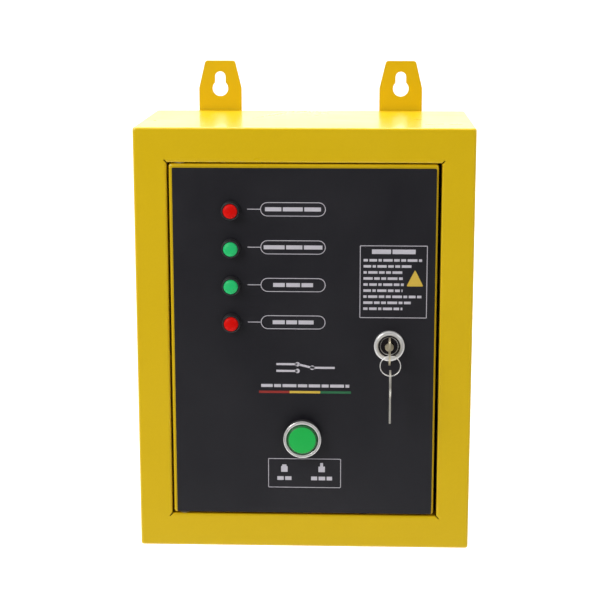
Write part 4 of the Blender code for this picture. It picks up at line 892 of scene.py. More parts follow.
def makeTitle():
    # changeover symbol: two supplies on the left, one load on the right, and a lever between them
    left, right, bottom, top = title["left"], title["right"], title["low"], title["high"]
    centre, pivotX = (bottom + top) / 2, (left + right) / 2 + 5 * mm
    contactX = pivotX - 11 * mm
    bold = 1.6 * mm
    shapes = [
        stroke([(left, top - bold), (contactX, top - bold)], bold),
        stroke([(left, bottom + bold), (contactX, bottom + bold)], bold),
        stroke([(pivotX, centre), (right, centre)], bold),
        stroke([(pivotX, centre), (contactX + 1.2 * mm, top - 1.2 * bold)], bold),
    ]
    for x, z in ((contactX, top - bold), (contactX, bottom + bold), (pivotX, centre)):
        shapes.append(loft([raised(arc(x, z, 1.7 * mm, 0, 360, 28)[:-1], h) for h in (0, ink["thick"])]))
    printed("titleSymbol", gather(shapes))
    printed("titleRow", dashes(-32 * mm, 34 * mm, -32.8 * mm, 2.3 * mm, (8.6, 5.2, 10.4, 7.0)))
    third = (35.2 + 33.6) / 3 * mm
    for number, finish in enumerate(("printRed", "printYellow", "printGreen")):
        bar = slab(third, 1.8 * mm, ink["thick"])
        printed(f"titleBar_{number + 1}", movedTo(bar, (-33.6 * mm + (number + 0.5) * third, -37.7 * mm, 0)),
                finish)


legend = dict(left=-27 * mm, right=28 * mm, bottom=-112.6 * mm, top=-89.6 * mm)


def makeLegend():
    left, right, bottom, top = legend["left"], legend["right"], legend["bottom"], legend["top"]
    shapes = [boxLine(left, right, bottom, top, 0.8 * mm, 0.45 * mm)]
    # a pressed and a released button, each drawn as a body with a stem on it
    for x, stem, words in ((-14.8 * mm, (3.2, 1.4), (4.8, 4.8)), (13.4 * mm, (2.2, 2.8), (4.6, 5.0, 4.1))):
        foot = top - 10.6 * mm
        shapes.append(movedTo(slab(4.9 * mm, 4.4 * mm, ink["thick"]), (x, foot + 2.2 * mm, 0)))
        shapes.append(movedTo(slab(stem[0] * mm, stem[1] * mm, ink["thick"]),
                              (x, foot + (4.4 + stem[1] / 2) * mm, 0)))
        row = (sum(words) + 1.1 * (len(words) - 1)) * mm
        shapes.append(dashes(x - row / 2, x + row / 2, foot - 5.0 * mm, 2.9 * mm, words))
    printed("legendBox", gather(shapes))


makeDoorPanel()
makeFaceplate()
makeLampLabels()
makeNotePanel()
makeTitle()
makeLegend()
print("door and printing done")


# lamps

lamp = dict(body=4.7 * mm, front=6.5 * mm, base=7.0 * mm, rise=6.2 * mm, seat=3.4 * mm, lens=5.25 * mm,
            dome=2.2 * mm,
            long=26 * mm, fit=145.3 * mm)


def makeLamp(number, lensFinish):
    spot = middle(f"lamp_body_{number}")
    seatRadius, rise = lamp["lens"] + 0.12 * mm, lamp["rise"]
    profile = [
        (seatRadius, lamp["seat"]), (seatRadius, rise - 0.25 * mm), (seatRadius + 0.35 * mm, rise),
        (lamp["front"] - 0.1 * mm, rise), (lamp["front"] + 0.1 * mm, rise - 0.7 * mm),
        (lamp["base"], 0.35 * rise),
        (lamp["base"], 0), (lamp["body"], 0), *threads(lamp["body"], -1.5 * mm, -18 * mm, 0.9 * mm),
        (lamp["body"] - 0.2 * mm, -18.4 * mm), (lamp["body"] - 0.2 * mm, -lamp["long"]),
        (0.3 * mm, -lamp["long"]),
        (0.3 * mm, lamp["seat"]),
    ]
    sharpPart = roundOff(profile[:7], 0.22 * mm, 3)
    body = turned([*map(tuple, sharpPart), *profile[7:]], 72)
    centre = (spot[0], -lamp["fit"], spot[2])
    piece(f"lampBody_{number}", place(body, centre), "blackPlastic", "door", [f"lamp_body_{number}"],
          sharp=35)
    # dome: a rounded square section, r = R sin(t), h = H cos(t)^0.7
    curve = [(lamp["lens"] * math.sin(t),
              rise - 0.3 * mm + (lamp["dome"] + 0.2 * mm) * max(math.cos(t), 0) ** 0.7)
             for t in np.linspace(0, math.pi / 2, 18)]
    lens = turned([*curve, (lamp["lens"], lamp["seat"] + 0.1 * mm), (0, lamp["seat"] + 0.1 * mm)], 72)
    piece(f"lampLens_{number}", place(lens, centre), lensFinish, "door", [f"lamp_lens_{number}"], sharp=50)
    nut = hexNut(extent(f"lamp_nut_{number}")[2], 5.0 * mm, 4 * mm)
    piece(f"lampNut_{number}", place(nut, (spot[0], low(f"lamp_nut_{number}")[1] + 4 * mm, spot[2])),
          "blackPlastic", "door",
          [f"lamp_nut_{number}"])
    blades = [movedTo(slab(2.8 * mm, 0.8 * mm, 6 * mm), (side * 2.1 * mm, 0, -lamp["long"] - 5.8 * mm))
              for side in (-1, 1)]
    piece(f"lampBlades_{number}", place(gather(blades), centre), "brass", "door", edge=0.15 * mm)


for number, lensFinish in enumerate(("redLens", "greenLens", "greenLens", "redLens"), 1):
    makeLamp(number, lensFinish)
print("lamps done")


# push button

button = dict(ring=14.1 * mm, ringDeep=2.2 * mm, collar=13.3 * mm, rise=9.3 * mm, cap=11.8 * mm,
              barrel=11 * mm,
              long=24 * mm, stem=4.2 * mm, capRise=10.6 * mm, skirt=6.0 * mm, face=10.3 * mm)


def makeButton():
    centre = np.array([middle("button_bezel")[0], -lamp["fit"], middle("button_bezel")[2]])
    bore, stemBore = button["cap"] + 0.15 * mm, button["stem"] + 0.3 * mm
    rise, under = button["rise"], button["rise"] - button["ringDeep"]
    # bright ring with a fine turned groove in its front
    ring = roundOff([(bore, under), (bore, rise - 0.2 * mm), (13.05 * mm, rise),
                     (13.08 * mm, rise - 1.0 * mm),
                     (13.40 * mm, rise - 1.0 * mm), (13.43 * mm, rise - 0.1 * mm),
                     (button["ring"], rise - 0.35 * mm),
                     (button["ring"], under)], np.array([0.05, 0.35, 0.10, 0.05, 0.05, 0.10, 0.5, 0.3]) * mm,
                     4, closed=True)
    piece("buttonBezel", place(turned(ring, 112), centre), "rimMetal", "door", ["button_bezel"], sharp=30)
    floor = button["capRise"] - button["skirt"] - 4.3 * mm
    profile = [(bore, floor), (bore, under - 0.02 * mm), (button["collar"] - 0.3 * mm, under - 0.02 * mm),
               (button["collar"], under - 0.4 * mm), (button["collar"], 2.2 * mm),
               (button["collar"] - 0.3 * mm, 1.9 * mm),
               (button["collar"] - 0.3 * mm, 0.8 * mm), (button["collar"], 0.5 * mm), (button["collar"], 0),
               (button["barrel"], 0), *threads(button["barrel"], -2 * mm, -18 * mm, 1.2 * mm),
               (button["barrel"] - 0.5 * mm, -19 * mm), (button["barrel"] - 0.5 * mm, -button["long"]),
               (stemBore, -button["long"]), (stemBore, floor)]
    piece("buttonCollar", place(turned(profile, 96), centre), "blackPlastic", "door", sharp=32)
    top, face = button["capRise"], button["face"]
    # the cap's bevelled rim takes the darker green: painted shade on the bevel
    bevel = roundOff([
        (face - 0.6 * mm, top - 1.4 * mm), (face - 0.6 * mm, top - 0.5 * mm), (face, top - 0.45 * mm),
        (button["cap"], top - 2.4 * mm), (button["cap"], top - button["skirt"]),
        (button["stem"], top - button["skirt"]),
        (button["stem"], -20 * mm), (2 * mm, -20 * mm), (2 * mm, top - 1.4 * mm),
    ], np.array([0, 0.05, 0.3, 0.6, 0.2, 0, 0.2, 0, 0]) * mm, 4)
    piece("buttonCapRing", place(turned(bevel, 96), centre), "shadedCapGreen", "button", ["button_cap"], sharp=50)
    # the cap's flat face takes the glowing green: painted light
    disc = roundOff([(0, top), (face - 0.1 * mm, top - 0.3 * mm), (face - 0.65 * mm, top - 1.5 * mm),
                     (0, top - 1.5 * mm)],
                    np.array([0, 0.5, 0.1, 0]) * mm, 4)
    piece("buttonCapFace", place(turned(disc, 96), centre), "litCapGreen", "button", sharp=50)
    ribs = 14.5 * mm - 0.5 * mm * (np.cos(np.linspace(0, 2 * math.pi, 144, endpoint=False) * 24) > 0.2)
    nut = polar([(ribs - 0.5 * mm, 0), (ribs, 0.5 * mm), (ribs, 4.0 * mm), (ribs - 0.5 * mm, 4.5 * mm),
                 (11.3 * mm, 4.5 * mm), (11.3 * mm, 0)], 144)
    piece("buttonNut", place(nut, (centre[0], high("button_nut")[1], centre[2])), "blackPlastic", "door",
          ["button_nut"])


def makeContactBlock():
    centre, size = middle("contact_block"), extent("contact_block")
    front = high("contact_block")[1]
    base = block((size[0], size[2], size[1]), 1.0 * mm)
    cuts = []
    for side in (-1, 1):
        for end in (-1, 1):
            cuts.append(movedTo(slab(8 * mm, 7 * mm, 9 * mm),
                                (side * 8 * mm, end * (size[2] / 2 - 3.0 * mm), -1 * mm)))
    cuts.append(movedTo(slab(0.5 * mm, size[2] + 2 * mm, 6 * mm), (0, 0, -5.4 * mm)))
    body = place(carve(base, cuts), (centre[0], front, centre[2]))
    piece("contactBlock", body, "greyPlastic", "door", ["contact_block"], edge=0.2 * mm)
    head = makeScrewHead(2.6 * mm, 1.6 * mm)
    screws = [place(turnedBy(head, 20 + 35 * n), (centre[0] + side * 8 * mm, front - 5.6 * mm,
                                                  centre[2] + end * (size[2] / 2 - 3.9 * mm)), "back")
              for n, (side, end) in enumerate([(-1, -1), (-1, 1), (1, -1), (1, 1)])]
    piece("contactScrews", gather(screws), "brass", "door")
    piece("contactPlunger", place(block((9 * mm, 12 * mm, 3.0 * mm), 0.6 * mm),
                                  (centre[0], front + 0.5 * mm, centre[2]),
                                  "back"), "redPlastic", "door")


makeButton()
makeContactBlock()
print("button done")


# lock, keys and their ring

lock = dict(head=11.3 * mm, headHigh=4.0 * mm, barrel=9.4 * mm, long=17 * mm, plugFace=8.0 * mm,
            plug=6.0 * mm,
            faceHigh=3.3 * mm, step=1.2 * mm, turnGap=0.35 * mm, tail=4.0 * mm, cam=2.0 * mm)


def lockPlace():
    return np.array([middle("lock_body")[0], -lamp["fit"], middle("lock_body")[2]])


def makeLockBody():
    wide, narrow = lock["plugFace"] + 0.2 * mm, lock["plug"] + lock["turnGap"]
    top, crown = lock["headHigh"], (lock["head"] + wide) / 2
    # the rim is a low arch that falls away at its edges: h = top - 0.9 mm |x|^3, x from -1 to 1 across it
    arch = [(crown + x * (lock["head"] - wide) / 2,
             top - 0.9 * mm * abs(x) ** 3) for x in np.linspace(-1, 1, 17)]
    head = [(narrow, lock["step"] - 0.35 * mm), (wide, lock["step"] - 0.35 * mm), *arch, (lock["head"], 0)]
    profile = [*head, (lock["barrel"], 0), *threads(lock["barrel"], -2 * mm, -16 * mm, 1.2 * mm),
               (lock["barrel"] - 0.4 * mm, -lock["long"]), (narrow, -lock["long"])]
    body = turned(profile, 112)
    piece("lockBody", place(body, lockPlace()), "rimMetal", "door", ["lock_body"], sharp=30)
    ribs = 12.5 * mm - 0.4 * mm * (np.cos(np.linspace(0, 2 * math.pi, 144, endpoint=False) * 18) > 0.3)
    nut = polar([(ribs - 0.4 * mm, 0), (ribs, 0.4 * mm), (ribs, 3.1 * mm), (ribs - 0.4 * mm, 3.5 * mm),
                 (9.6 * mm, 3.5 * mm), (9.6 * mm, 0)], 144)
    centre = lockPlace()
    piece("lockNut", place(nut, (centre[0], high("lock_nut")[1], centre[2])), "zinc", "door", ["lock_nut"])


def makeLockPlug():
    face, camFront = lock["faceHigh"], -lock["long"] - lock["turnGap"]
    tailEnd = camFront - 0.3 * mm - lock["cam"]
    rim = roundOff([
        (0, face - 1.5 * mm), (6.7 * mm, face - 1.5 * mm), (7.0 * mm, face - 0.25 * mm), (7.3 * mm, face),
        (7.7 * mm, face), (lock["plugFace"], face - 0.3 * mm), (lock["plugFace"], lock["step"]),
        (lock["plug"], lock["step"]),
    ], 0.12 * mm, 3)
    profile = [*map(tuple, rim), (lock["plug"], camFront), (lock["tail"], camFront), (lock["tail"], tailEnd),
               (2.3 * mm, tailEnd), (2.3 * mm, tailEnd + 4 * mm), (0, tailEnd + 4 * mm)]
    keyway = movedTo(slab(2.0 * mm, 8.1 * mm, 22 * mm), (0, 0, -15 * mm))
    # the plug in near-black metal: painted shade for the lock's dark recess
    piece("lockPlug", place(carve(turned(profile, 96), [keyway]), lockPlace()), "plugShadeAndWear", "lock",
          ["lock_plug"])
    # a step inside the plug's rim in bright rim metal against the dark plug: painted highlight for the thin
    # bright arc there
    step = roundOff([(6.35 * mm, face - 1.6 * mm), (6.75 * mm, face - 0.9 * mm), (6.95 * mm, face - 1.0 * mm),
                     (6.95 * mm, face - 1.6 * mm)], 0.1 * mm, 3, closed=True)
    piece("lockPlugHighlightRing", place(turned(step, 96), lockPlace()), "rimMetal", "lock")
    root, tip, reach = 8 * mm, 6.5 * mm, 46 * mm
    outline = np.vstack([arc(0, 0, root, 0, 180, 28), arc(0, tip - reach, tip, 180, 360, 28)])
    hole = arc(0, 0, lock["tail"] + 0.25 * mm, 0, 360, 36)[:-1]
    centre = lockPlace()
    arm = place(flatSolid([outline, hole], lock["cam"]), (centre[0], high("lock_cam")[1], centre[2]))
    piece("lockCam", arm, "zinc", "lock", ["lock_cam"], edge=0.25 * mm)
    head = makeScrewHead(5.2 * mm, 2.6 * mm)
    shank = rod(1.9 * mm, -3.7 * mm, 0.1 * mm, 24)
    spot = (centre[0], high("cam_screw")[1] - 2.6 * mm, centre[2])
    piece("camScrew", place(gather([turnedBy(head, 25), shank]), spot, "back"), "zinc", "lock", ["cam_screw"])


keyShape = dict(long=40.4 * mm, blade=7.6 * mm, thick=1.3 * mm, bow=10.3 * mm, hole=3.8 * mm,
                holeOut=3.3 * mm,
                pitch=2.6 * mm, cuts=(1.1, 2.0, 0.8, 1.6))


def makeKeyShape():
    bowAt, half = keyShape["long"] - keyShape["bow"], keyShape["blade"] / 2
    neck = half + 0.9 * mm
    shoulder = bowAt - keyShape["bow"] - 1.0 * mm
    meet = math.degrees(math.asin(neck / keyShape["bow"]))
    bow = arc(bowAt, 0, keyShape["bow"], meet - 180, 180 - meet, 72)
    teeth = []
    for number, deep in enumerate(keyShape["cuts"]):
        x = shoulder - keyShape["pitch"] * (number + 1)
        teeth += [(x + 0.9 * mm, half), (x + 0.35 * mm, half - deep * mm), (x - 0.35 * mm, half - deep * mm),
                  (x - 0.9 * mm, half)]
    outline = np.vstack([[(0, 0), (1.8 * mm, -half), (shoulder, -half), (shoulder, -neck)], bow,
                         [(shoulder, neck), (shoulder, half)], teeth, [(1.8 * mm, half)]])
    hole = arc(bowAt + keyShape["holeOut"], 0, keyShape["hole"], 0, 360, 48)[:-1]
    blank = flatSolid([outline, hole], keyShape["thick"])
    cuts = []
    for side in (0, 1):
        level = -0.6 * mm if side == 0 else keyShape["thick"] - 0.4 * mm
        cuts.append(movedTo(slab(shoulder + 3 * mm, 1.3 * mm, 1 * mm),
                            (shoulder / 2 - 1.5 * mm, (0.6 - 1.6 * side) * mm, level)))
    return carve(blank, cuts)


def makeKeys():
    centre = lockPlace()
    shape = makeKeyShape()
    half = keyShape["thick"] / 2
    home = place(shape, (centre[0] + half, high("key")[1], centre[2]), "sideways")
    piece("keyHome", home, "keyHome", "key", ["key"], edge=0.15 * mm)
    # moulded collar between the blade and the bow: an oval, drawn in towards both ends
    rounds = [(0.72, 0.0), (0.93, 0.35), (1.0, 0.9), (1.0, 3.2), (0.86, 3.9), (0.45, 4.3)]
    collar = loft([raised(arc(0, 0, 1, 0, 360, 48)[:-1] * [3.2 * mm * r, 3.0 * mm * r],
                          (lock["faceHigh"] / mm + 0.5 + h) * mm)
                   for r, h in rounds])
    piece("keyCollar", place(collar, centre), "keyHome", "key")
    spare = place(shape, (middle("spare_key")[0] + half, middle("spare_key")[1], low("spare_key")[2]),
                  "hanging")
    piece("keySpare", spare, "nickel", "spare_key", ["spare_key"], edge=0.15 * mm)
    turns = np.linspace(0, 2, 241)
    angle = turns * 2 * math.pi + 0.9
    ringCentre = middle("key_ring")
    radius = 7.45 * mm
    across = (np.clip((turns - 0.92) / 0.16, 0, 1) - 0.5) * 0.66 * mm
    coil = np.column_stack([radius * np.cos(angle), radius * np.sin(angle), across])
    piece("keyRing", place(tube(coil, 0.33 * mm, 12), ringCentre), "rimMetal", "key_ring", ["key_ring"])


makeLockBody()
makeLockPlug()
makeKeys()
print("lock and keys done")


# hinge pins, glands and the fittings of the case

def makeHinges():
    for node in ("hinge_pin_upper", "hinge_pin_lower"):
        centre, upper = middle(node), middle(node)[2] > 0
        long = extent(node)[2]
        profile = roundOff([(0, 0), (2.9 * mm, 0), (2.9 * mm, 1.5 * mm), (2.0 * mm, 1.5 * mm),
                            (2.0 * mm, long),
                            (0, long)], np.array([0, 0.5, 0.3, 0.1, 0.5, 0]) * mm, 3)
        start = low(node)[2] if upper else high(node)[2]
        piece(node.replace("hinge_p", "hingeP"), place(turned(profile, 48), (centre[0], centre[1], start),
                                                       "up" if upper else "down"), "zinc", "door", [node])
    for node in ("hinge_washer_upper", "hinge_washer_lower"):
        thick = extent(node)[2]
        ring = turned(roundOff([(2.2 * mm, 0), (4.0 * mm, 0), (4.0 * mm, thick), (2.2 * mm, thick)],
                               0.12 * mm, 3,
                               closed=True), 48)
        piece(node.replace("hinge_w", "hingeW"),
              place(ring, (middle(node)[0], middle(node)[1], low(node)[2]), "up"),
              "nylon", "door", [node])


gland = dict(flange=12.4 * mm, bore=6.2 * mm, drop=18 * mm, thread=9.8 * mm)


def makeGland(number):
    centre = middle(f"gland_{number}")
    bottom, top = low(f"gland_{number}")[2], high(f"gland_{number}")[2]
    deck = bottom + gland["drop"]
    angle = np.linspace(0, 2 * math.pi, 96, endpoint=False)
    hexBody = np.minimum(hexRadius(2 * gland["flange"] * 0.90, 96), gland["flange"])
    ribs = gland["flange"] - 1.4 * mm - 0.45 * mm * (np.cos(angle * 16) > 0)
    side = [(ribs * 0.80, bottom), (ribs * 0.93, bottom + 1.6 * mm), (ribs, bottom + 4.4 * mm),
            (ribs, bottom + 10.4 * mm), (10.2 * mm, bottom + 10.8 * mm), (10.2 * mm, bottom + 11.6 * mm),
            (hexBody - 0.5 * mm, bottom + 11.7 * mm), (hexBody, bottom + 12.3 * mm),
            (hexBody, deck - 1.2 * mm),
            (gland["flange"] - 0.2 * mm, deck - 1.1 * mm), (gland["flange"] - 0.2 * mm, deck - 0.3 * mm)]
    neck = threads(gland["thread"], deck - 0.3 * mm, top - 0.6 * mm, 1.5 * mm, 0.5 * mm)
    inner = [(gland["thread"] - 0.8 * mm, top), (8.0 * mm, top), (8.0 * mm, bottom + 9 * mm),
             (7.4 * mm, bottom + 5 * mm), (7.4 * mm, bottom + 0.4 * mm), (7.6 * mm, bottom)]
    piece(f"glandBody_{number}", place(polar(side + neck + inner, 96), (centre[0], centre[1], 0), "up"),
          "blackPlastic",
          "case", [f"gland_{number}"])
    seal = roundOff([(7.4 * mm, bottom + 0.9 * mm), (7.4 * mm, bottom + 8 * mm),
                     (gland["bore"], bottom + 8 * mm),
                     (gland["bore"], bottom + 0.9 * mm)], 0.5 * mm, 4, closed=True)
    piece(f"glandSeal_{number}", place(turned(seal, 64), (centre[0], centre[1], 0), "up"), "greyPlastic",
          "case")
    teeth = np.minimum(hexRadius(26 * mm, 96), 14.4 * mm)
    base = low(f"gland_nut_{number}")[2]
    grip = 4 * mm - 0.45 * mm * (np.cos(angle * 24) > 0)
    loops = [(teeth, 0 * grip), (teeth, grip - 0.8 * mm), (teeth - 1.1 * mm, grip), (10.1 * mm, grip),
             (10.1 * mm, 0 * grip)]
    piece(f"glandNut_{number}", place(polar(loops, 96), (centre[0], centre[1], base), "up"), "blackPlastic",
          "case",
          [f"gland_nut_{number}"])


makeHinges()
for number in (1, 2, 3):
    makeGland(number)
print("hinges and glands done")


# mounting plate, rail and screws

def makePlate():
    sheet = 1.5 * mm
    centre, half = middle("mounting_plate"), extent("mounting_plate") / 2
    front, rear = half[1], -half[1]
    section = [
        (0.6 * half[0], 0.6 * half[2], 2 * mm, front), (half[0], half[2], 2 * mm, front),
        (half[0], half[2], 2 * mm, rear), (half[0] - sheet, half[2] - sheet, 0.6 * mm, rear),
        (half[0] - sheet, half[2] - sheet, 0.6 * mm, front - sheet),
        (0.6 * half[0], 0.6 * half[2], 2 * mm, front - sheet),
    ]
    reach = np.array([0, 2.2, 0.25, 0.25, 1.0, 0]) * mm
    tray = loft([raised(rectLoop(x, z, corner, 6), h) for x, z, corner, h in roundOff(section, reach, 5)])
    cuts = []
    for node, radius in [(f"plate_screw_{n}", 2.3) for n in (1, 2, 3, 4)] + [("earth_stud", 3.3)]:
        spot = middle(node)
        cuts.append(place(rod(radius * mm, -4 * mm, 4 * mm, 32),
                          (spot[0], low("mounting_plate")[1], spot[2])))
    piece("mountingPlate", carve(place(tray, centre), cuts), "zinc", "case", ["mounting_plate"])
    head = makeScrewHead(4.2 * mm, 2.6 * mm)
    for number in (1, 2, 3, 4):
        spot, deck = middle(f"plate_screw_{number}"), low(f"plate_screw_{number}")[1] + 2.6 * mm
        shank = turned([(0, -9.4 * mm), *threads(2.0 * mm, -9.2 * mm, -0.2 * mm, 0.8 * mm, 0.25 * mm),
                        (0, 0)], 32)
        screw = gather([turnedBy(head, 30 * number), shank])
        piece(f"plateScrew_{number}", place(screw, (spot[0], deck, spot[2])), "zinc", "case",
              [f"plate_screw_{number}"])


def makeRail():
    lowCorner, highCorner = low("din_rail"), high("din_rail")
    web, flange, deep, sheet = 13.5 * mm, 17.5 * mm, extent("din_rail")[1], 1.0 * mm
    upper = [(0, web), (deep - sheet, web), (deep - sheet, flange), (deep, flange), (deep, web - sheet),
             (sheet, web - sheet)]
    lower = [(h, -z) for h, z in upper[::-1]]
    outline = roundOff(upper + lower, 0.7 * mm, 3, closed=True)
    loops = [np.column_stack([np.full(len(outline), x), outline[:, 1], outline[:, 0]])
             for x in (lowCorner[0], highCorner[0])]
    slots = [movedTo(gather([slab(9 * mm, 6.2 * mm, 6 * mm),
                             movedTo(rod(3.1 * mm, 0, 6 * mm, 32), (4.5 * mm, 0, 0)),
                             movedTo(rod(3.1 * mm, 0, 6 * mm, 32), (-4.5 * mm, 0, 0))]), (x, 0, -3 * mm))
             for x in np.linspace(-0.0875, 0.0875, 8)]
    rail = carve(loft(loops), slots)
    piece("railTopHat", place(rail, (0, highCorner[1], middle("din_rail")[2])), "zinc", "case", ["din_rail"])


makePlate()
makeRail()
print("plate and rail done")


# devices on the rail

def stepped(size, base, nose, radius=1.0 * mm, cuts=()):
    # full-height base with a lower nose in front of it, and anything cut out of both
    shapes = [block((size[0], size[1], base), radius, 3),
              movedTo(block((size[0], nose, size[2] - base + 4 * mm), radius, 3), (0, 0, base - 4 * mm))]
    return gather([carve(shape, cuts) for shape in shapes] if len(cuts) else shapes)


smallHead = makeScrewHead(2.7 * mm, 1.5 * mm)
slotHead = makeScrewHead(2.3 * mm, 1.2 * mm, "slot")
contactorShape = dict(base=46 * mm, nose=46 * mm, pole=15 * mm)


def makeContactor(name):
    node = f"contactor_{name}"
    size = extent(node)[[0, 2, 1]]
    centre = np.array([middle(node)[0], high(node)[1], middle(node)[2]])
    base, pole = contactorShape["base"], contactorShape["pole"]
    cuts, clamps, screws = [], [], []
    for n in (-1, 0, 1):
        for end in (-1, 1):
            spot = (n * pole, end * (size[1] / 2 - 3.2 * mm))
            cuts.append(movedTo(slab(9 * mm, 7.8 * mm, 16 * mm), (*spot, base - 13 * mm)))
            clamps.append(movedTo(slab(8 * mm, 6.4 * mm, 1.4 * mm),
                                  (spot[0], spot[1] - end * 0.6 * mm, base - 9 * mm)))
            screws.append(movedTo(turnedBy(smallHead, 17 * n + 40 * end), (spot[0], spot[1] - end * 0.6 * mm,
                                                                         base - 7.6 * mm)))
    front = size[2]
    window = movedTo(slab(11.8 * mm, 13.8 * mm, 17 * mm), (0, 0, front - 15.4 * mm))
    grooves = [movedTo(slab(size[0] + 2 * mm, 0.7 * mm, 1.2 * mm), (0, end * 14.5 * mm, front - 0.6 * mm))
               for end in (-1, 1)]
    vents = [movedTo(slab(1.1 * mm, 6 * mm, 3 * mm),
                     (x * mm, 18.8 * mm, front - 1.2 * mm)) for x in range(-15, 16, 3)]
    shape = stepped(size, base, contactorShape["nose"], 1.1 * mm, [*cuts, window, *grooves, *vents])
    piece(f"contactorBody_{name}", place(shape, centre), "creamPlastic", "case", [node])
    piece(f"contactorClamps_{name}", place(gather(clamps), centre), "brass", "case", edge=0.2 * mm)
    piece(f"contactorScrews_{name}", place(gather(screws), centre), "zinc", "case")
    cover = [movedTo(block((size[0] - 4 * mm, 7 * mm, 1.4 * mm), 0.4 * mm, 2),
                     (0, end * 27.5 * mm, base - 0.3 * mm))
             for end in (-1, 1)]
    label = movedTo(block((30 * mm, 7.5 * mm, 0.5 * mm), 0.2 * mm, 2), (0, -18.6 * mm, front - 0.2 * mm))
    piece(f"contactorCovers_{name}", place(gather(cover), centre), "greyPlastic", "case")
    piece(f"contactorLabel_{name}", place(label, centre), "nylon", "case")
    slide = f"carrier_{name}"
    inside = extent(slide)
    ridges = [movedTo(slab(inside[0] + 1 * mm, 0.7 * mm, 1 * mm), (0, z * mm, inside[1] - 0.6 * mm))
              for z in (-4, -2, 0, 2, 4)]
    carrier = carve(block((inside[0], inside[2], inside[1]), 0.6 * mm, 3), ridges)
    spot = (middle(slide)[0], high(slide)[1], middle(slide)[2])
    piece(f"carrierSlide_{name}", place(carrier, spot), "blackPlastic", slide, [slide])


def makeInterlock():
    size = extent("interlock")
    centre = (middle("interlock")[0], high("interlock")[1], middle("interlock")[2])
    ridges = [movedTo(slab(size[0] + 1 * mm, 0.8 * mm, 1.2 * mm), (0, z * mm, size[1] - 0.7 * mm))
              for z in (-24, -21, -18, 18, 21, 24)]
    slotCut = movedTo(slab(4 * mm, 16 * mm, 3 * mm), (0, 0, size[1] - 2 * mm))
    shape = carve(block((size[0], size[2], size[1]), 0.8 * mm, 3), [*ridges, slotCut])
    piece("interlockBody", place(shape, centre), "greyPlastic", "case", ["interlock"])
    tab = movedTo(block((3 * mm, 6 * mm, 2.2 * mm), 0.5 * mm), (0, 3 * mm, size[1] - 2.0 * mm))
    piece("interlockTab", place(tab, centre), "redPlastic", "case")


def railPlace(node):
    return np.array([middle(node)[0], high(node)[1], middle(node)[2]]), extent(node)[[0, 2, 1]]


def endTerminals(size, base, places):
    # funnel holes for screws near both ends of a rail device, and the screws at their bottom
    cuts, screws = [], []
    for x in places:
        for end in (-1, 1):
            spot = (x, end * (size[1] / 2 - 8.5 * mm))
            cuts.append(movedTo(rod(3.1 * mm, base - 5 * mm, base + 1 * mm, 32), (*spot, 0)))
            cuts.append(movedTo(slab(5.4 * mm, 8 * mm, 6 * mm),
                                (x, end * (size[1] / 2 + 1.5 * mm), base - 14 * mm)))
            screws.append(movedTo(turnedBy(smallHead, 900 * x + 30 * end), (*spot, base - 5 * mm)))
    return cuts, screws


def makeFuseHolder():
    centre, size = railPlace("fuse_holder")
    base = 44 * mm
    cuts, screws = endTerminals(size, base, [0])
    front = size[2]
    cuts.append(movedTo(ringBand(6.6 * mm, 18.5 * mm, 1 * mm, 0.5 * mm, 3 * mm), (0, 0, front - 1.6 * mm)))
    cuts.append(movedTo(slab(9 * mm, 4 * mm, 3 * mm), (0, 14 * mm, front - 1.6 * mm)))
    shape = stepped(size, base, 45 * mm, 0.9 * mm, cuts)
    piece("fuseBody", place(shape, centre), "greyPlastic", "case", ["fuse_holder"])
    piece("fuseScrews", place(gather(screws), centre), "zinc", "case")
    window = movedTo(block((4 * mm, 2.4 * mm, 0.9 * mm), 0.3 * mm), (0, -13 * mm, front - 0.5 * mm))
    piece("fuseWindow", place(window, centre), "redLens", "case")


def makeTimer():
    centre, size = railPlace("changeover_timer")
    base, front = 44 * mm, extent("changeover_timer")[1]
    cuts, screws = endTerminals(size, base, [-10.5 * mm, 0, 10.5 * mm])
    cuts.append(movedTo(ringBand(15.4 * mm, 20.4 * mm, 1 * mm, 0.4 * mm, 2 * mm), (0, 0, front - 0.5 * mm)))
    shape = stepped(size, base, 45 * mm, 0.9 * mm, cuts)
    piece("timerBody", place(shape, centre), "greyPlastic", "case", ["changeover_timer"])
    piece("timerScrews", place(gather(screws), centre), "zinc", "case")
    knobs, ticks = [], []
    for z, radius in ((7.5 * mm, 6.2 * mm), (-10.5 * mm, 4.0 * mm)):
        angle = np.linspace(0, 2 * math.pi, 96, endpoint=False)
        grip = radius - 0.35 * mm * (np.cos(angle * 18) > 0)
        knob = polar([(0.01 * mm, 0), (radius + 0.6 * mm, 0), (radius + 0.6 * mm, 0.5 * mm), (grip, 0.7 * mm),
                      (grip, 2.6 * mm),
                      (grip - 0.5 * mm, 3.0 * mm), (0.01 * mm, 3.0 * mm)], 96)
        knob = carve(knob, [movedTo(slab(0.9 * mm, 1.6 * radius, 1.4 * mm, 35), (0, 0, 2.2 * mm))])
        knobs.append(movedTo(knob, (0, z, front - 0.1 * mm)))
        for degrees in range(-135, 136, 27):
            tick = movedTo(slab(0.35 * mm, 1.5 * mm, 0.25 * mm), (0, radius + 2.0 * mm, 0))
            ticks.append(movedTo(turnedBy(tick, degrees), (0, z, front - 0.1 * mm)))
    piece("timerKnobs", place(gather(knobs), centre), "blackPlastic", "case")
    piece("timerTicks", place(gather(ticks), centre), "nylon", "case")
    for name, x, finish in (("timerLampOn", -11 * mm, "greenLens"), ("timerLampOut", 11 * mm, "redLens")):
        bead = [(1.3 * mm * math.cos(t), 0.9 * mm * math.sin(t)) for t in np.linspace(0, math.pi / 2, 7)]
        piece(name, place(movedTo(turned([(0, -0.5 * mm), (1.3 * mm, -0.5 * mm), *bead], 32),
                                  (x, 17 * mm, front)), centre),
              finish, "case")


for name in ("mains", "generator"):
    makeContactor(name)
makeInterlock()
makeFuseHolder()
makeTimer()
print("rail devices done")


# control board with its parts, relays and transformer

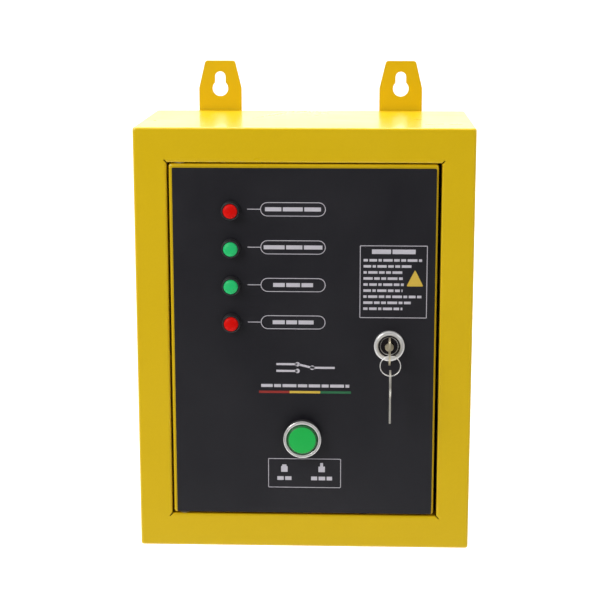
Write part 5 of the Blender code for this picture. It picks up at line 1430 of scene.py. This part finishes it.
board = dict(thick=1.6 * mm, stand=8 * mm, inset=6 * mm)
stripHead = makeScrewHead(1.9 * mm, 0.9 * mm, "slot")


def onBoard(shapes):
    deck = low("control_board")[1]
    return place(gather(shapes), (middle("control_board")[0], deck, middle("control_board")[2]))


def makeBoard():
    size = extent("control_board")
    centre, deck = middle("control_board"), low("control_board")[1]
    outline = rectLoop(size[0] / 2, size[2] / 2, 1.5 * mm, 6)
    spots = [(sx * (size[0] / 2 - board["inset"]),
              sz * (size[2] / 2 - board["inset"])) for sx in (-1, 1) for sz in (-1, 1)]
    sheet = flatSolid([outline, *(arc(x, z, 1.6 * mm, 0, 360, 24)[:-1] for x, z in spots)], board["thick"])
    piece("boardSheet", place(sheet, (centre[0], deck + board["thick"], centre[2])), "board", "case",
          ["control_board"],
          edge=0.15 * mm)
    posts = [movedTo(hexNut(5.2 * mm, 1.2 * mm, board["stand"]),
                     (x, z, -board["thick"] - board["stand"])) for x, z in spots]
    heads = [movedTo(turnedBy(smallHead, 31 * n), (x, z, 0)) for n, (x, z) in enumerate(spots)]
    piece("boardPosts", onBoard(posts), "brass", "case")
    piece("boardScrews", onBoard(heads), "zinc", "case")

    traces = []
    for n in range(9):
        x = (-34 + 7.5 * n) * mm
        bend = (3 + 2 * (n % 3)) * mm
        traces.append(stroke([(x, -30 * mm), (x, (-16 + n) * mm), (x + bend, (-12 + n) * mm),
                              (x + bend, 2 * mm)],
                             (0.8 + 0.3 * (n % 2)) * mm))
    for n in range(5):
        traces.append(stroke([(-38 * mm, (-6 - 3 * n) * mm), ((-24 + 2 * n) * mm, (-6 - 3 * n) * mm),
                              ((-20 + 2 * n) * mm, (-10 - 3 * n) * mm)], 0.7 * mm))
    piece("boardTraces", onBoard([movedTo(trace, (0, 0, -0.05 * mm)) for trace in traces]), "boardTrace",
          "case")

    chip = movedTo(block((9 * mm, 26 * mm, 3.2 * mm), 0.3 * mm, 2), (-3 * mm, -6 * mm, 0.6 * mm))
    small = [movedTo(block((6 * mm, 9 * mm, 2.6 * mm), 0.3 * mm, 2), (x * mm, z * mm, 0.5 * mm))
             for x, z in ((12, -8), (22, -8))]
    piece("boardChips", onBoard([chip, *small]), "blackPlastic", "case")
    legs = [(-3 * mm + side * 5.0 * mm, (-17.4 + 2.54 * n) * mm) for n in range(10) for side in (-1, 1)]
    legs += [(x * mm + side * 3.5 * mm,
              (-11.8 + 2.54 * n) * mm) for x in (12, 22) for n in range(4) for side in (-1, 1)]
    piece("boardLegs", onBoard([blocksAt(legs, (1.3 * mm, 0.55 * mm, 1.5 * mm))]), "zinc", "case")
    cans, tops = [], []
    for x, z, radius, tall in ((-33, -8, 6.2, 17), (-34, -22, 5.0, 13), (34, -20, 4.0, 11), (33, -8, 3.2, 8),
                               (24, -22, 3.2, 8)):
        can = roundOff([(0, 0), (radius * mm, 0), (radius * mm, 1.5 * mm), ((radius - 0.35) * mm, 1.9 * mm),
                        (radius * mm, 2.3 * mm), (radius * mm, tall * mm), (0, tall * mm)],
                       np.array([0, 0.4, 0.2, 0.2, 0.2, 0.6, 0]) * mm, 3)
        cans.append(movedTo(turned(can, 48), (x * mm, z * mm, 0.2 * mm)))
        vent = [slab(1.5 * radius * mm, 0.35 * mm, 0.3 * mm, turn) for turn in (0, 60, 120)]
        disc = rod((radius - 0.9) * mm, 0, 0.25 * mm)
        tops.append(movedTo(carve(disc, [movedTo(gather(vent), (0, 0, 0.12 * mm))]),
                            (x * mm, z * mm, (tall + 0.15) * mm)))
    piece("boardCans", onBoard(cans), "sleeve", "case")
    piece("boardCanTops", onBoard(tops), "zinc", "case")
    resistors, leads, bands = [], [], []
    for n in range(8):
        x, z = (-20 + 2.9 * (n % 4)) * mm, (-14 + 15 * (n // 4)) * mm - 6 * mm
        bead = roundOff([(0, -3.2), (1.15, -3.2), (1.15, -2.0), (0.95, -1.7), (0.95, 1.7), (1.15, 2.0),
                         (1.15, 3.2), (0, 3.2)],
                        np.array([0, 0.5, 0.3, 0.2, 0.2, 0.3, 0.5, 0]), 3) * mm
        resistors.append(place(turned(bead, 24), (x, z, 1.5 * mm), "right"))
        for band in (-1.1, -0.3, 0.6):
            ring = turned([(0.5 * mm, (band - 0.2) * mm), (1.0 * mm, (band - 0.2) * mm),
                           (1.0 * mm, (band + 0.2) * mm),
                           (0.5 * mm, (band + 0.2) * mm)], 24)
            bands.append(place(ring, (x, z, 1.5 * mm), "right"))
        leads.append(tube([(x, z - 5.2 * mm, -0.2 * mm), (x, z - 5.2 * mm, 1.2 * mm),
                           (x, z - 4.8 * mm, 1.5 * mm),
                           (x, z + 4.8 * mm, 1.5 * mm), (x, z + 5.2 * mm, 1.2 * mm),
                           (x, z + 5.2 * mm, -0.2 * mm)],
                          0.28 * mm, 6))
    piece("boardResistors", onBoard(resistors), "creamPlastic", "case")
    piece("boardLeads", onBoard(leads), "zinc", "case")
    strip = block((70 * mm, 10 * mm, 10 * mm), 0.5 * mm, 2)
    holes = [movedTo(rod(2.0 * mm, 5 * mm, 11 * mm, 24),
                     ((-31.5 + 7 * n) * mm, 0.5 * mm, 0)) for n in range(10)]
    mouths = [movedTo(slab(4.2 * mm, 6 * mm, 4.6 * mm),
                      ((-31.5 + 7 * n) * mm, -5.5 * mm, 1.4 * mm)) for n in range(10)]
    piece("boardTerminals", onBoard([movedTo(carve(strip, holes + mouths), (0, -35.5 * mm, 0.1 * mm))]),
          "greenPlastic",
          "case")
    heads = [movedTo(turnedBy(stripHead, 23 * n),
                     ((-31.5 + 7 * n) * mm, -35.0 * mm, 7.0 * mm)) for n in range(10)]
    piece("boardTerminalScrews", onBoard(heads), "zinc", "case")


def makeRelays():
    for number in (1, 2):
        node = f"relay_{number}"
        size, centre = extent(node), middle(node)
        shape = block((size[0], size[2], size[1]), 0.8 * mm, 3)
        groove = movedTo(ringBand(size[0] / 2 + 1 * mm, size[2] / 2 + 1 * mm, 1.5 * mm, 1.35 * mm, 0.4 * mm),
                         (0, 0, 1.6 * mm))
        pip = movedTo(rod(1.2 * mm, 0, 1.2 * mm, 24), (-6.5 * mm, 10.5 * mm, size[1] - 0.5 * mm))
        piece(f"relayCase_{number}",
              place(carve(shape, [groove, pip]), (centre[0], high(node)[1], centre[2])), "bluePlastic",
              "case", [node])
        rows = [movedTo(slab(wide * mm, 1.2 * mm, 0.12 * mm), (0, z * mm, size[1] - 0.05 * mm))
                for z, wide in ((4, 12), (1, 9), (-2, 13), (-5, 7))]
        piece(f"relayRows_{number}", place(gather(rows), (centre[0], high(node)[1], centre[2])), "nylon",
              "case")


def makeTransformer():
    centre = middle("transformer")
    coreSize, coilSize = (54 * mm, 46 * mm, 24 * mm), (36 * mm, 30 * mm, 42 * mm)
    sheets = 24
    stations = []
    for n in range(sheets):
        start = -coreSize[2] / 2 + n * coreSize[2] / sheets
        end = -coreSize[2] / 2 + (n + 1) * coreSize[2] / sheets
        out = -0.12 * mm * (n % 2)
        stations += [(out, start), (out, end)]
    corners = [raised(rectLoop(coreSize[0] / 2 + out, coreSize[1] / 2 + out, 0.6 * mm, 3), h) for out,
               h in stations]
    window = [movedTo(slab(8.4 * mm, 30.4 * mm, 26 * mm),
                      (side * 13.9 * mm, 0, -13 * mm)) for side in (-1, 1)]
    core = carve(loft(corners), window)
    piece("transformerCore", place(core, centre), "darkSteel", "case", ["transformer"])
    coil = loft([raised(rectLoop(coilSize[0] / 2 - inset, coilSize[1] / 2 - 1.2 * mm - inset, 3 * mm, 6), h)
                 for inset, h in ((1.5 * mm, -19.4 * mm), (0, -18 * mm), (0, 18 * mm),
                                  (1.5 * mm, 19.4 * mm))])
    piece("transformerCoil", place(coil, centre), "tape", "case")
    flanges = [movedTo(block((coilSize[0] - 0.4 * mm, coilSize[1], 1.4 * mm), 0.4 * mm, 2), (0, 0, h))
               for h in (-coilSize[2] / 2, coilSize[2] / 2 - 1.4 * mm)]
    piece("transformerBobbin", place(gather(flanges), centre), "blackPlastic", "case")
    tags = [movedTo(slab(2.6 * mm, 0.8 * mm, 5 * mm), (x * mm, z * mm, 15.2 * mm))
            for x in (-12, -6, 6, 12) for z in (12.2, -12.2)]
    piece("transformerTags", place(gather(tags), centre), "brass", "case", edge=0.12 * mm)


makeBoard()
makeRelays()
makeTransformer()
print("board, relays and transformer done")


# terminal row and earth stud

terminals = dict(count=18, end=5 * mm, shoulder=16.5 * mm, nose=12 * mm)


def makeTerminals():
    centre, size = railPlace("terminal_block")
    pitch = (size[0] - 2 * terminals["end"]) / terminals["count"]
    outline = roundOff([(-size[1] / 2, 0), (size[1] / 2, 0), (size[1] / 2, terminals["shoulder"]),
                        (terminals["nose"] / 2, terminals["shoulder"] + 2 * mm),
                        (terminals["nose"] / 2, size[2]),
                        (-terminals["nose"] / 2, size[2]),
                        (-terminals["nose"] / 2, terminals["shoulder"] + 2 * mm),
                        (-size[1] / 2, terminals["shoulder"])], 0.8 * mm, 3, closed=True)
    across, rise = outline[:, 0], outline[:, 1]
    shapes = {"greyPlastic": [], "bluePlastic": [], "earthPlastic": []}
    screws, markers = [], []
    for n in range(terminals["count"]):
        x = -size[0] / 2 + terminals["end"] + (n + 0.5) * pitch
        half = pitch / 2 - 0.12 * mm
        body = loft([np.column_stack([np.full(len(outline), x + shift), across * narrow, rise]) for shift,
                     narrow in
                     ((-half, 0.98), (0.3 * mm - half, 1), (half - 0.3 * mm, 1), (half, 0.98))])
        holes = [movedTo(rod(2.4 * mm, terminals["shoulder"] - 6 * mm, terminals["shoulder"] + 3 * mm, 28),
                         (x, end * 10.6 * mm, 0)) for end in (-1, 1)]
        mouths = [movedTo(slab(4.2 * mm, 6 * mm, 5 * mm),
                          (x, end * (size[1] / 2 + 1 * mm), 5 * mm)) for end in (-1, 1)]
        finish = "bluePlastic" if n in (4, 10) else "earthPlastic" if n in (5, 11, 17) else "greyPlastic"
        shapes[finish].append(carve(body, holes + mouths))
        screws += [movedTo(turnedBy(slotHead, 37 * n),
                           (x, end * 10.6 * mm, terminals["shoulder"] - 6 * mm)) for end in (-1, 1)]
        markers.append(movedTo(slab(pitch - 1.4 * mm, 5 * mm, 0.5 * mm), (x, 0, size[2] - 0.4 * mm)))
    blocks = [movedTo(block((terminals["end"] - 0.3 * mm, size[1] - 0.6 * mm, size[2] - 1 * mm), 0.8 * mm),
                      (side * (size[0] - terminals["end"]) / 2, 0, 0)) for side in (-1, 1)]
    piece("terminalGrey", place(gather(shapes["greyPlastic"] + blocks), centre), "greyPlastic", "case",
          ["terminal_block"])
    piece("terminalBlue", place(gather(shapes["bluePlastic"]), centre), "bluePlastic", "case")
    piece("terminalEarth", place(gather(shapes["earthPlastic"]), centre), "earthPlastic", "case")
    piece("terminalScrews", place(gather(screws), centre), "zinc", "case")
    piece("terminalMarkers", place(gather(markers), centre), "nylon", "case")


def makeEarthStud():
    spot = middle("earth_stud")
    rear, front = high("earth_stud")[1], low("earth_stud")[1]
    profile = [(0, 0), (4.8 * mm, 0), (4.8 * mm, 2 * mm),
               *threads(3.0 * mm, 2.2 * mm, rear - front - 0.6 * mm, 1.0 * mm, 0.3 * mm),
               (2.3 * mm, rear - front), (0, rear - front)]
    piece("earthStud", place(turned(profile, 48), (spot[0], rear, spot[2])), "brass", "case", ["earth_stud"])
    nut = hexNut(10 * mm, 3.2 * mm, 5 * mm)
    piece("earthNut", place(nut, (spot[0], high("earth_nut")[1], spot[2])), "brass", "case", ["earth_nut"])
    lug = flatSolid([np.vstack([arc(0, 0, 5.4 * mm, -60, 240, 32),
                                [(-2.4 * mm, -9 * mm), (2.4 * mm, -9 * mm)]]),
                     arc(0, 0, 3.3 * mm, 0, 360, 32)[:-1]], 0.9 * mm)
    top = high("earth_nut")[1] - 5.2 * mm
    sleeve = tube([(0, -8 * mm, 1.3 * mm), (0, -14 * mm, 1.3 * mm)], 2.0 * mm, 20)
    shapes = [place(gather([lug, sleeve]), (spot[0], top, spot[2]))]
    piece("earthLug", gather(shapes), "zinc", "case")


makeTerminals()
makeEarthStud()
print("terminals and earth done")


# wiring, in millimetres: power wires in the case, thin wires to the board, and the loom to the door

def makeWires(name, runs, finish, radius, body="case"):
    piece(name, gather([wire(np.array(run, float) * mm, radius * mm) for run in runs]), finish, body,
          sharp=60)


def poleX(name, n):
    return middle(f"contactor_{name}")[0] / mm + 15 * (n - 1)


def terminalX(n):
    start, end = low("terminal_block")[0] / mm, high("terminal_block")[0] / mm
    return start + 5 + (n + 0.5) * (end - start - 10) / terminals["count"]


def stripX(n):
    return middle("control_board")[0] / mm - 31.5 + 7 * n


def makeTie(name, centre, halfA, halfB, facing, body):
    # a strap round a bundle, with its square head at one side
    strap = ringBand((halfA + 0.7) * mm, (halfB + 0.7) * mm, 1.4 * mm, 0.6 * mm, 2.4 * mm)
    head = movedTo(block((3.2 * mm, 3.4 * mm, 3.0 * mm), 0.4 * mm, 2), ((halfA + 1.6) * mm, 0, -0.3 * mm))
    piece(name, place(gather([strap, head]), np.array(centre) * mm, facing), "nylon", body)


def makePowerWires():
    runs = {"wireBrown": [], "wireBlack": [], "wireRed": []}
    for n, finish in enumerate(runs):
        # mains contactor, down the channel and left under the transformer to its terminals
        x, down, level, end = poleX("mains", n), -26 + 3.3 * n, -65 - 4 * n, terminalX(n + 1)
        runs[finish].append([(x, -54.9, 27), (x, -54.9, 19), (x, -49, 12), ((x + down) / 2, -30, 7),
                             (down, -15.6, -2),
                             (down, -13.8, -14), (down, -13.8, level + 8), (down - 3, -13.9, level),
                             ((down + end) / 2, -14, level - 1), (end + 3, -14.6, level - 2),
                             (end, -18.6, -85),
                             (end, -19.6, -90.8)])
        # generator contactor, left above the board and down the channel
        x, down, level, end = poleX("generator", n), -16.1 + 3.3 * n, 14 - 4 * n, terminalX(n + 7)
        runs[finish].append([(x, -54.9, 27), (x, -54.9, 20), (x - 1, -46, level + 2), (x - 6, -28, level),
                             (down + 7, -24, level), (down + 1, -20, level - 4), (down, -14.4, level - 14),
                             (down, -13.8, -24),
                             (down, -13.8, -72), ((down + end) / 2, -15.4, -79), (end, -19.0, -85),
                             (end, -19.6, -90.8)])
        # bridges over the two contactors, each further forward than the last
        first, last, front = poleX("mains", n), poleX("generator", n) - 1.8, -54.9 - 5.2 * n
        runs[finish].append([(first, -54.9, 93), (first, -54.9 - 1.5 * n, 100), (first + 3, front, 105),
                             (first + 12, front, 110 + n), (-2, front, 112 + n), (last - 12, front, 110 + n),
                             (last - 3, front, 105), (last, -54.9 - 1.5 * n, 100), (last, -54.9, 93)])
        # load, over the timer, down the right side and along the bottom
        x, deep, rise, back = last + 3.6, -36 - 4 * n, 112 - 3.6 * n, -17.2 - 3.3 * n
        level, end = -124 - 3.4 * n, terminalX(15 - n)
        runs[finish].append([(x, -54.9, 93), (x, -52, 100), (x + 2, deep - 4, rise - 3), (x + 9, deep, rise),
                             (86, deep, rise),
                             (94, deep + 5, rise - 6), (96.6, back - 4, rise - 18), (96.6, back, rise - 34),
                             (96.6, back, 0),
                             (96.6, back, -108), (94.6, back, level + 3), (87, back, level),
                             (end + 7, back, level),
                             (end + 1, (back - 19.6) / 2, -122.6), (end, -19.6, -120), (end, -19.6, -117.2)])
    for finish, paths in runs.items():
        makeWires(finish.replace("wire", "power"), paths, finish, 1.5)
    for n, z in enumerate((-22, -48)):
        makeTie(f"channelTie_{n + 1}", (-17.8, -13.8, z), 10.2, 1.9, "up", "case")
    for n, z in enumerate((60, 10, -50)):
        makeTie(f"sideTie_{n + 1}", (96.6, -20.5, z), 1.9, 5.2, "up", "case")
    spot, end = middle("earth_stud") / mm, terminalX(17)
    y = high("earth_nut")[1] / mm - 6.5
    makeWires("powerEarth", [[(spot[0], y, spot[2] - 11), (spot[0], y - 1, spot[2] - 15),
                              (spot[0] - 2, -28, -122),
                              (spot[0] - 12, -29, -124), (end + 8, -28, -123.5), (end + 1, -23, -121.5),
                              (end, -19.8, -119.5), (end, -19.6, -117.2)]], "wireEarth", 1.2)


def makeControlWires():
    # from the board's terminals: to the timer, to the transformer and to the loom
    dark, pale = [], []
    timer, coil = middle("changeover_timer")[0] / mm, middle("transformer") / mm
    for n in range(3):
        x, column, level = timer + 10.5 * (n - 1), -2.2 - 1.9 * n, 3.4 - 1.9 * n
        dark.append([(x, -52.9, 20), (x, -51.5, 14), (x - 3, -42, 8), (x - 10, -28, level + 0.5),
                     (x - 20, -25.5, level),
                     (8, -25, level), (column + 3, -22.5, level - 1), (column, -18, -8), (column, -17.5, -20),
                     (column, -17.5, -74), (column + 2, -22, -83), (column + 8, -27.5, -85.6),
                     (stripX(n) - 4, -27.6, -86.2),
                     (stripX(n), -25.8, -85.6), (stripX(n), -25.5, -81)])
        x = coil[0] + (-6, 6, 12)[n]
        pale.append([(x, coil[1] - 19.2, coil[2] - 12.6), (x + 0.5, coil[1] - 21, coil[2] - 17),
                     (x + 4, coil[1] - 16, coil[2] - 28), (-36 + 3 * n, -33 - n, -76),
                     (-22 + 3 * n, -30 - n, -83),
                     (-4, -29.3 - 0.6 * n, -86), (stripX(n + 3) - 5, -29.3 - 0.6 * n, -86.6),
                     (stripX(n + 3), -26, -86), (stripX(n + 3), -25.5, -81)])
    for n, (column, deep) in enumerate(((-2.2, -14), (-4.1, -14), (-6.0, -14), (-3.1, -20.6))):
        level = 9.4 + 1.7 * n
        dark.append([(stripX(n + 6), -25.5, -81), (stripX(n + 6), -26, -85.6),
                     (stripX(n + 6) - 5, -30.6 - 0.5 * n, -86.4),
                     (12, -30.6 - 0.5 * n, -86.4), (column + 4, -27, -83), (column, deep - 2, -74),
                     (column, deep, -62),
                     (column, deep, -6), (column - 1, deep + 0.5, level - 5), (column - 7, -14, level),
                     (-70, -14, level), (-80, -14.4, level + 2), (-84 + n, -14.8, level + 12 - n),
                     (-88 + n, -15, 31 - n),
                     (-91.6 + 0.8 * n, -15.3, 27), (-91, -15.6, 20)])
    makeWires("controlDark", dark, "wireBlack", 0.75)
    makeWires("controlPale", pale, "wireWhite", 0.75)
    x, top = middle("fuse_holder")[0] / mm, poleX("mains", 0) - 2.9
    end = terminalX(6)
    makeWires("controlRed", [
        [(x, -52.9, 99.6), (x, -53, 105), (x + 6, -53.5, 110), (top - 4, -54.6, 107), (top, -55.4, 101),
         (top, -55.4, 94)],
        [(x, -52.9, 20.4), (x, -51, 13), (x + 5, -42, 8), (x + 18, -26, 5), (-33, -18.5, 1),
         (-29.6, -17.4, -8),
         (-29.6, -17.4, -60), (-29.6, -17.6, -78), (end + 1, -18.6, -84), (end, -19.6, -87),
         (end, -19.6, -90.8)],
    ], "wireRed", 0.85)


def makeLoom():
    # corrugated sleeve from the plate to the door: a path with a radius that swells every 1.8 mm along it
    hinge, doorBack = middle("hinge_pin_upper")[0] / mm, low("door_panel")[1] / mm + 1.2
    frameBack = low("case_shell")[1] / mm + 16
    onDoor = high("door_loom")[0] / mm
    level, centre = -4, doorBack + 3.7
    route = [(-91, -15.5, level + 26), (-95, -22.3, level + 15), (-99, -43.5, level + 8),
             (-101, -87.2, level + 2),
             (hinge - 6, frameBack + 12, level), (hinge + 4, frameBack + 5, level - 2),
             (hinge + 14, (frameBack + 5 + centre) / 2, level - 4), (hinge + 24, centre, level - 5),
             (onDoor, centre, level - 5)]
    rough = smoothPath(np.array(route, float) * mm, 40)
    along = np.concatenate([[0], np.cumsum(np.linalg.norm(np.diff(rough, axis=0), axis=1))])
    even = np.arange(0, along[-1], 0.3 * mm)
    path = np.column_stack([np.interp(even, along, rough[:, axis]) for axis in range(3)])
    radius = 3.0 * mm + 0.22 * mm * np.cos(even / (1.8 * mm) * 2 * math.pi)
    loom = piece("doorLoom", tube(path, radius, 20), "wireBlack", None, ["door_loom"], sharp=75)
    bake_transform(loom)
    return onDoor, centre, level - 5


def makeDoorWires(onDoor, deep, level):
    runs, trunk = {"wireBlack": [], "wireRed": []}, -65.5
    for number in range(4):
        x, z = middle(f"lamp_body_{number + 1}")[0] / mm, middle(f"lamp_body_{number + 1}")[2] / mm
        for side, finish in zip((-1, 1), runs):
            n = 2 * number + (side > 0)
            a, b, blade = trunk + 1.7 * (n % 4 - 1.5), deep - 1.0 + 1.7 * (n // 4), x + 2.1 * side
            runs[finish].append([(onDoor - 4, deep, level), (onDoor - 1, deep, level + 1.5),
                                 (onDoor - 4, b, level + 6),
                                 (a, b, level + 12), (a, b, z - 9), (a + 2, b + 6, z - 5),
                                 (x - 6, -113, z - 3.5),
                                 (blade - 1.2, -107.8, z - 1.4), (blade, -109.5, z), (blade, -114, z)])
    spot, half = middle("contact_block") / mm, extent("contact_block")[2] / mm / 2
    rear = high("contact_block")[1] / mm - 3.6
    for side, finish in zip((-1, 1), runs):
        x = spot[0] + 8 * side
        runs[finish].append([(onDoor - 4, deep, level), (onDoor + 2, deep, level - 1),
                             (onDoor + 16, deep + 1, level - 7),
                             (-24, -134, -34), (-13 + 6 * side, -120, -45),
                             (x, rear - 1.5, spot[2] + half + 6),
                             (x, rear, spot[2] + half + 1), (x, rear, spot[2] + half - 2)])
        runs[finish].append([(onDoor - 4, deep, level), (onDoor + 2, deep, level - 2),
                             (onDoor + 14, deep + 1.4, level - 9),
                             (-26, -134, -38), (-20.5 - side, -126, -60), (-19.5 - side, -114, -88),
                             (spot[0] - 12 + 7 * side, rear - 1, spot[2] - half - 8),
                             (x, rear, spot[2] - half - 4), (x, rear, spot[2] - half + 2)])
    for finish, paths in runs.items():
        makeWires(finish.replace("wire", "door"), paths, finish, 0.72, "door")
    sleeves = [place(rod(1.55 * mm, 0, 6.2 * mm, 24),
                     (middle(f"lamp_body_{n}")[0] + side * 2.1 * mm, -108.6 * mm,
                                                       middle(f"lamp_body_{n}")[2]), "front")
               for n in (1, 2, 3, 4) for side in (-1, 1)]
    piece("doorSleeves", gather(sleeves), "nylon", "door")
    back = low("door_panel")[1] / mm + 1.2
    for n, z in enumerate((29, 57, 85)):
        pad = block((10 * mm, 10 * mm, 1.4 * mm), 0.4 * mm, 2)
        piece(f"tiePad_{n + 1}", place(pad, np.array([trunk, back, z]) * mm, "back"), "nylon", "door")
        makeTie(f"doorTie_{n + 1}", (trunk, deep - 0.2, z - 1.2), 3.6, 2.0, "up", "door")


makePowerWires()
makeControlWires()
makeDoorWires(*makeLoom())
print("wiring done")
